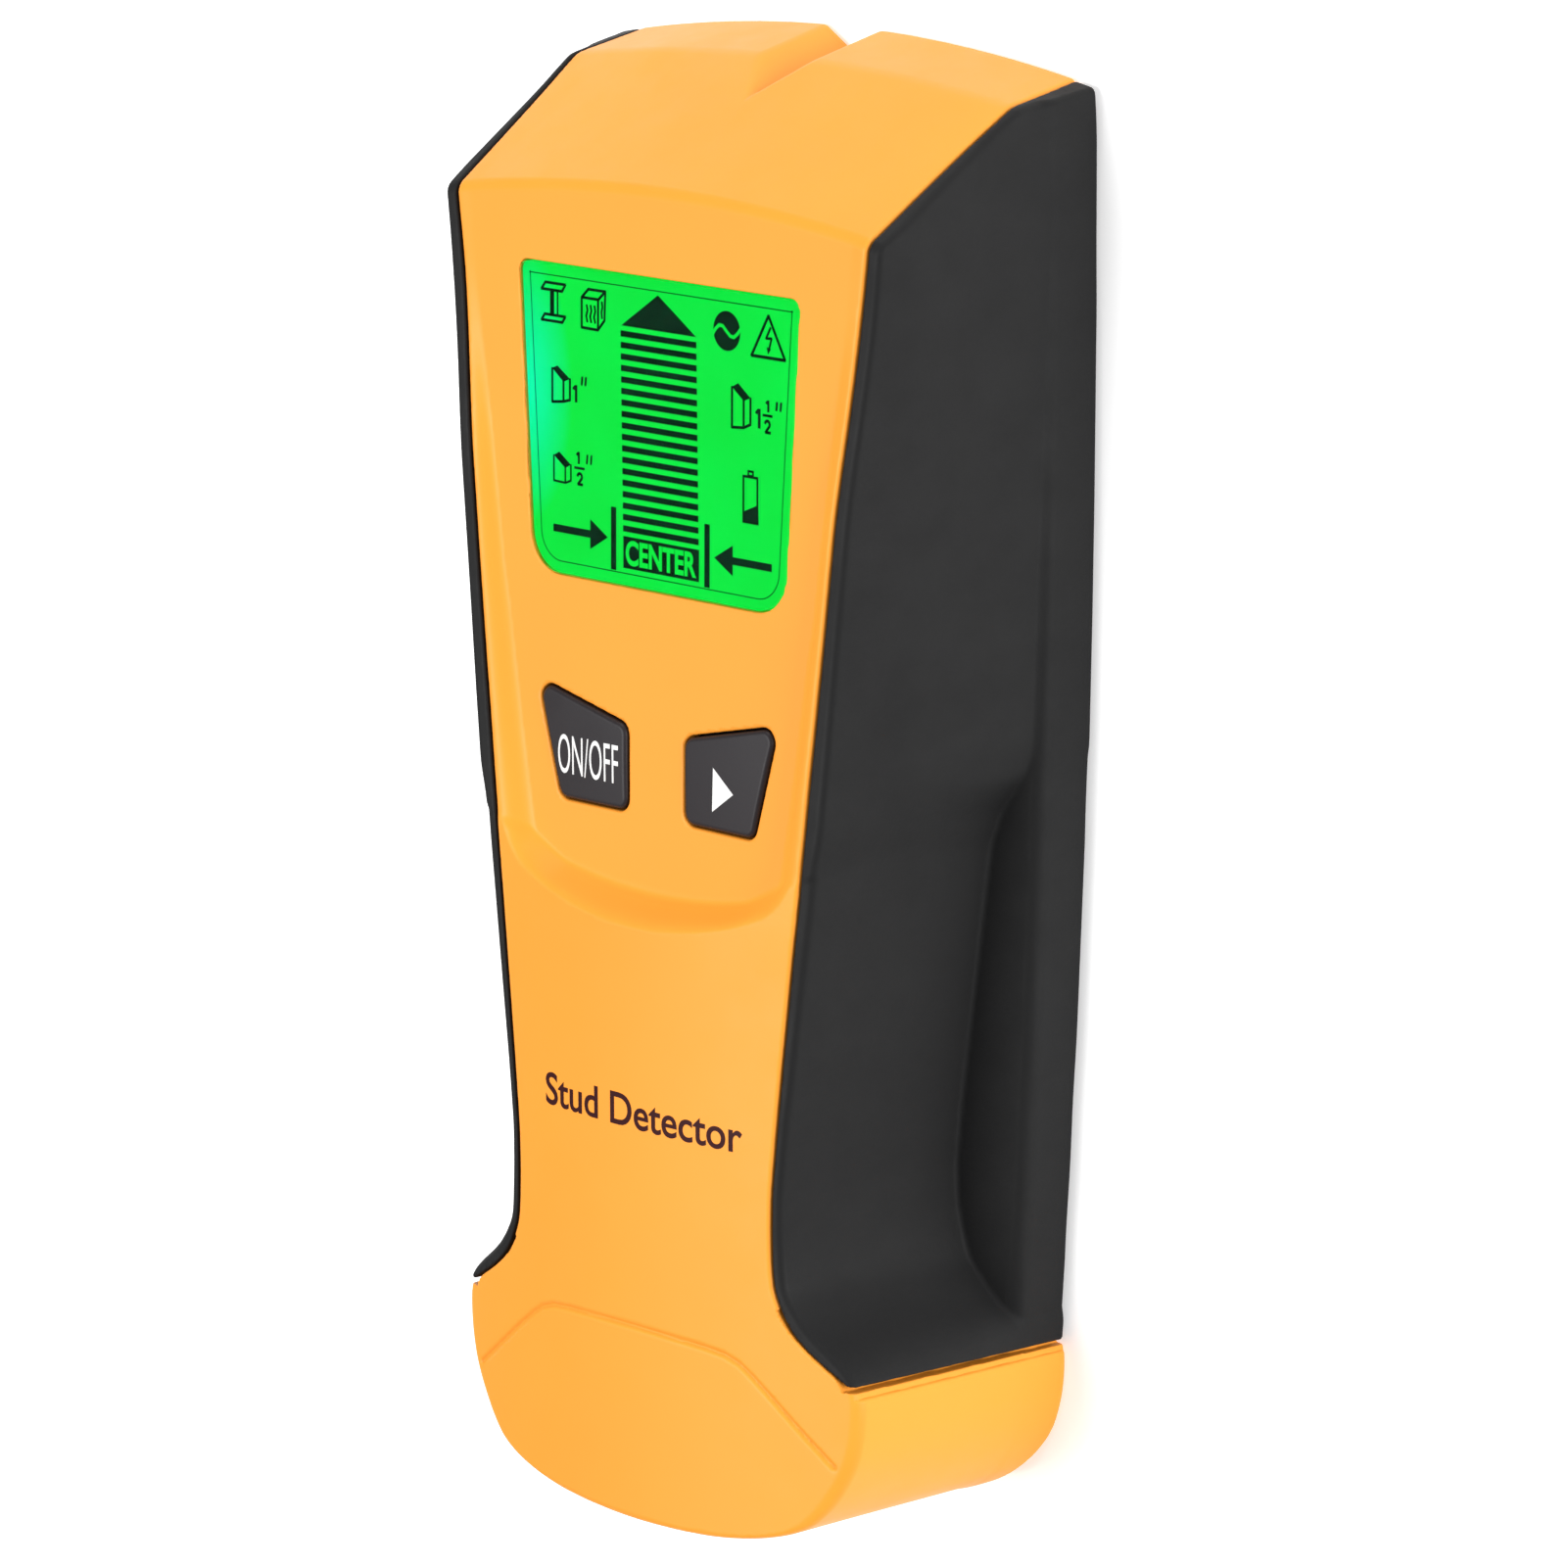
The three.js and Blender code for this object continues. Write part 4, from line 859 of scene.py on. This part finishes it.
# depth blocks
lines += stroke([(218, 430), (218, 536), (270, 530), (270, 468)], 9) + stroke([(270, 530), (300, 522), (300, 456)], 9)
lines += stroke([(225, 703), (225, 783), (278, 785), (278, 738)], 7) + stroke([(278, 785), (304, 775), (304, 725)], 7)
lines += stroke([(1038, 396), (1038, 520), (1090, 516), (1090, 434)], 9) + stroke([(1090, 516), (1120, 503), (1120, 422)], 9)
# battery
lines += frame_loops(1086, 660, 1156, 808, 8) + frame_loops(1108, 643, 1136, 664, 7)


def digit(ch, u, v, w, hh, t):
    if ch == "1":
        return [rect(u + w * 0.45, v, u + w * 0.45 + t, v + hh), poly((u + w * 0.45, v), (u + w * 0.45, v + t * 1.5), (u - w * 0.1, v + hh * 0.26), (u - w * 0.1, v + hh * 0.17))]
    top = arc_pts(u + w / 2, v + hh * 0.30, w / 2 - t * 0.3, 195, 395, 10)
    return stroke(top + [(u + t * 0.6, v + hh - t / 2), (u + w, v + hh - t / 2)], t)


def inch_mark(u, v, hh, t, gap):
    return [poly((u + 3, v), (u + 3 + t, v), (u + t, v + hh), (u, v + hh)), poly((u + 3 + gap, v), (u + 3 + gap + t, v), (u + gap + t, v + hh), (u + gap, v + hh))]


lines += digit("1", 314, 472, 20, 54, 11) + inch_mark(350, 442, 28, 9, 17)
lines += digit("1", 330, 680, 14, 38, 9) + [rect(320, 727, 368, 735)] + digit("2", 332, 746, 26, 40, 9) + inch_mark(374, 684, 30, 8, 19)
lines += digit("1", 1144, 450, 20, 60, 12) + digit("1", 1188, 420, 14, 36, 9) + [rect(1174, 463, 1218, 471)] + digit("2", 1182, 481, 26, 42, 9) + inch_mark(1230, 420, 28, 9, 18)
outline_piece("display_icons", lines, Z_INK, Z_INK + 0.012, "lcd_green", "housing", mat="lcd_ink", follow=on_floor)


# mains symbol: a dark disc crossed by a lit wave
disc = [lx(1014) + 60.0 / 26 * math.cos(2 * math.pi * i / 48) for i in range(48)], [ly(228) + 61.0 / 26 * math.sin(2 * math.pi * i / 48) for i in range(48)]
outline_piece("display_disc", [list(zip(*disc))], Z_INK, Z_INK + 0.012, "lcd_green", "housing", mat="lcd_ink", follow=on_floor)
outline_piece("display_wave", stroke([(951, 244), (964, 226), (980, 213), (996, 214), (1012, 228), (1030, 242), (1046, 244), (1062, 232), (1077, 214)], 11),
              Z_INK + 0.014, Z_INK + 0.026, "lcd_green", "housing", follow=on_floor)
text_piece("display_center_word", "CENTER", lx(719), ly(968), 80 / 26, 322 / 26, Z_INK + 0.014, Z_INK + 0.026, "lcd_green", "housing", bold=0.034, follow=on_floor)

# sheet and pane
outline_piece("display_sheet", [WIN], -1.5, Z_SHEET, "lcd_green", "housing", follow=on_floor)
pane = outline_piece("display_pane", [WIN], -0.34, 0.0, "window_clear", "housing", follow=on_floor)
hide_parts("display_window")

# dark line round the display inside the window


def inset(pts, d):
    p = np.array(pts)
    out = []
    for i in range(len(p)):
        a, b = p[i - 1], p[(i + 1) % len(p)]
        t = (b - a) / np.linalg.norm(b - a)
        out.append((p[i][0] - t[1] * d, p[i][1] + t[0] * d))
    return out


outline_piece("display_border", ring_loops(inset(WIN, 1.30), inset(WIN, 1.42)), Z_INK, Z_INK + 0.012, "lcd_green", "housing", mat="lcd_ink", follow=on_floor)

# ------------------------------------------------------------------ rear prints
text_piece("label_line_1", "STUD AND METAL SENSOR", 0.0, 42.5, 3.0, 36.0, 0.12, 0.17, "print_dark", "housing", rear=True)
text_piece("label_line_2", "9 V", -0.0, 34.0, 5.2, 8.5, 0.12, 0.17, "print_dark", "housing", rear=True)
text_piece("label_line_3", "DEPTH 1/2 in   1 in   1 1/2 in", 0.0, 26.0, 2.2, 33.0, 0.12, 0.17, "print_dark", "housing", rear=True)
outline_piece("label_rules", [[(-18.5, 38.6), (18.5, 38.6), (18.5, 38.9), (-18.5, 38.9)], [(-18.5, 29.4), (18.5, 29.4), (18.5, 29.7), (-18.5, 29.7)],
                              [(-18.5, 18.0), (18.5, 18.0), (18.5, 18.3), (-18.5, 18.3)]], 0.12, 0.17, "print_dark", "housing")
outline_piece("door_arrow", [[(-2.6, -56.5), (2.6, -56.5), (0, -59.6)]], 0.17, 0.22, "print_white", "door")
text_piece("door_mark", "OPEN", 0.0, -53.4, 2.4, 9.0, 0.17, 0.22, "print_white", "door", bold=0.004, rear=True)

# ------------------------------------------------------------------ carried over nodes: softened edges
for n, o in nodes.items():
    if o.hide_render:
        continue
    for pl in o.data.polygons:
        pl.use_smooth = True
    b = o.modifiers.new("edge", "BEVEL")
    b.width = 0.00018 if n not in ("rear_cover", "battery_door") else 0.00028
    b.segments = 2
    b.limit_method = "ANGLE"
    b.angle_limit = math.radians(40)
    b.harden_normals = True
    b.use_clamp_overlap = True

# ------------------------------------------------------------------ stage, light, camera
bpy.ops.mesh.primitive_plane_add(size=8.0, location=(0, 0, -0.0002))
floor = bpy.context.object
floor.name = "studio_floor"
fm, nt, p = new_material("studio_floor")
nt.links.new(mix(nt, noise(nt, coord(nt), 3.0), (0.93, 0.93, 0.93), (0.96, 0.96, 0.96)), p.inputs["Base Color"])
p.inputs["Roughness"].default_value = 0.9
p.inputs["Emission Color"].default_value = (1, 1, 1, 1)
p.inputs["Emission Strength"].default_value = 0.42
floor.data.materials.append(fm)

world = bpy.data.worlds.new("studio")
bpy.context.scene.world = world
world.use_nodes = True
bg = world.node_tree.nodes["Background"]
bg.inputs[0].default_value = (1, 1, 1, 1)
bg.inputs[1].default_value = 0.27


def area(name, loc, target, size, energy, color=(1, 1, 1)):
    l = bpy.data.lights.new(name, "AREA")
    l.shape = "RECTANGLE"
    l.size, l.size_y = size
    l.energy = energy
    l.color = color
    o = bpy.data.objects.new(name, l)
    bpy.context.scene.collection.objects.link(o)
    o.location = loc
    o.rotation_euler = (Vector(target) - Vector(loc)).to_track_quat("-Z", "Y").to_euler()
    return o


area("key_left", (-0.44, -0.03, 1.28), (0, 0, 0.02), (0.7, 0.7), 18.5)
area("fill_right", (1.5, 0.15, 0.30), (0, 0, 0.02), (0.8, 0.5), 18.5)
area("top_back", (-0.1, 1.5, 0.40), (0, 0, 0.02), (0.9, 0.5), 7.5)

cam_data = bpy.data.cameras.new("camera")
cam_data.sensor_width = 36
cam_data.lens = 36.0 * 8078.0 / 1601.0
cam_data.clip_start, cam_data.clip_end = 0.05, 20
cam = bpy.data.objects.new("camera", cam_data)
bpy.context.scene.collection.objects.link(cam)
r, u, f = Vector((0.68610, -0.00311, -0.72750)), Vector((-0.14854, 0.97833, -0.14427)), Vector((-0.71218, -0.20705, -0.67077))
rot = Matrix((r, u, -f)).transposed()
cam.matrix_world = Matrix.Translation(Vector((0.681467, 0.196701, 0.653883))) @ rot.to_4x4()
bpy.context.scene.camera = cam
bpy.context.scene.view_settings.view_transform = "Standard"
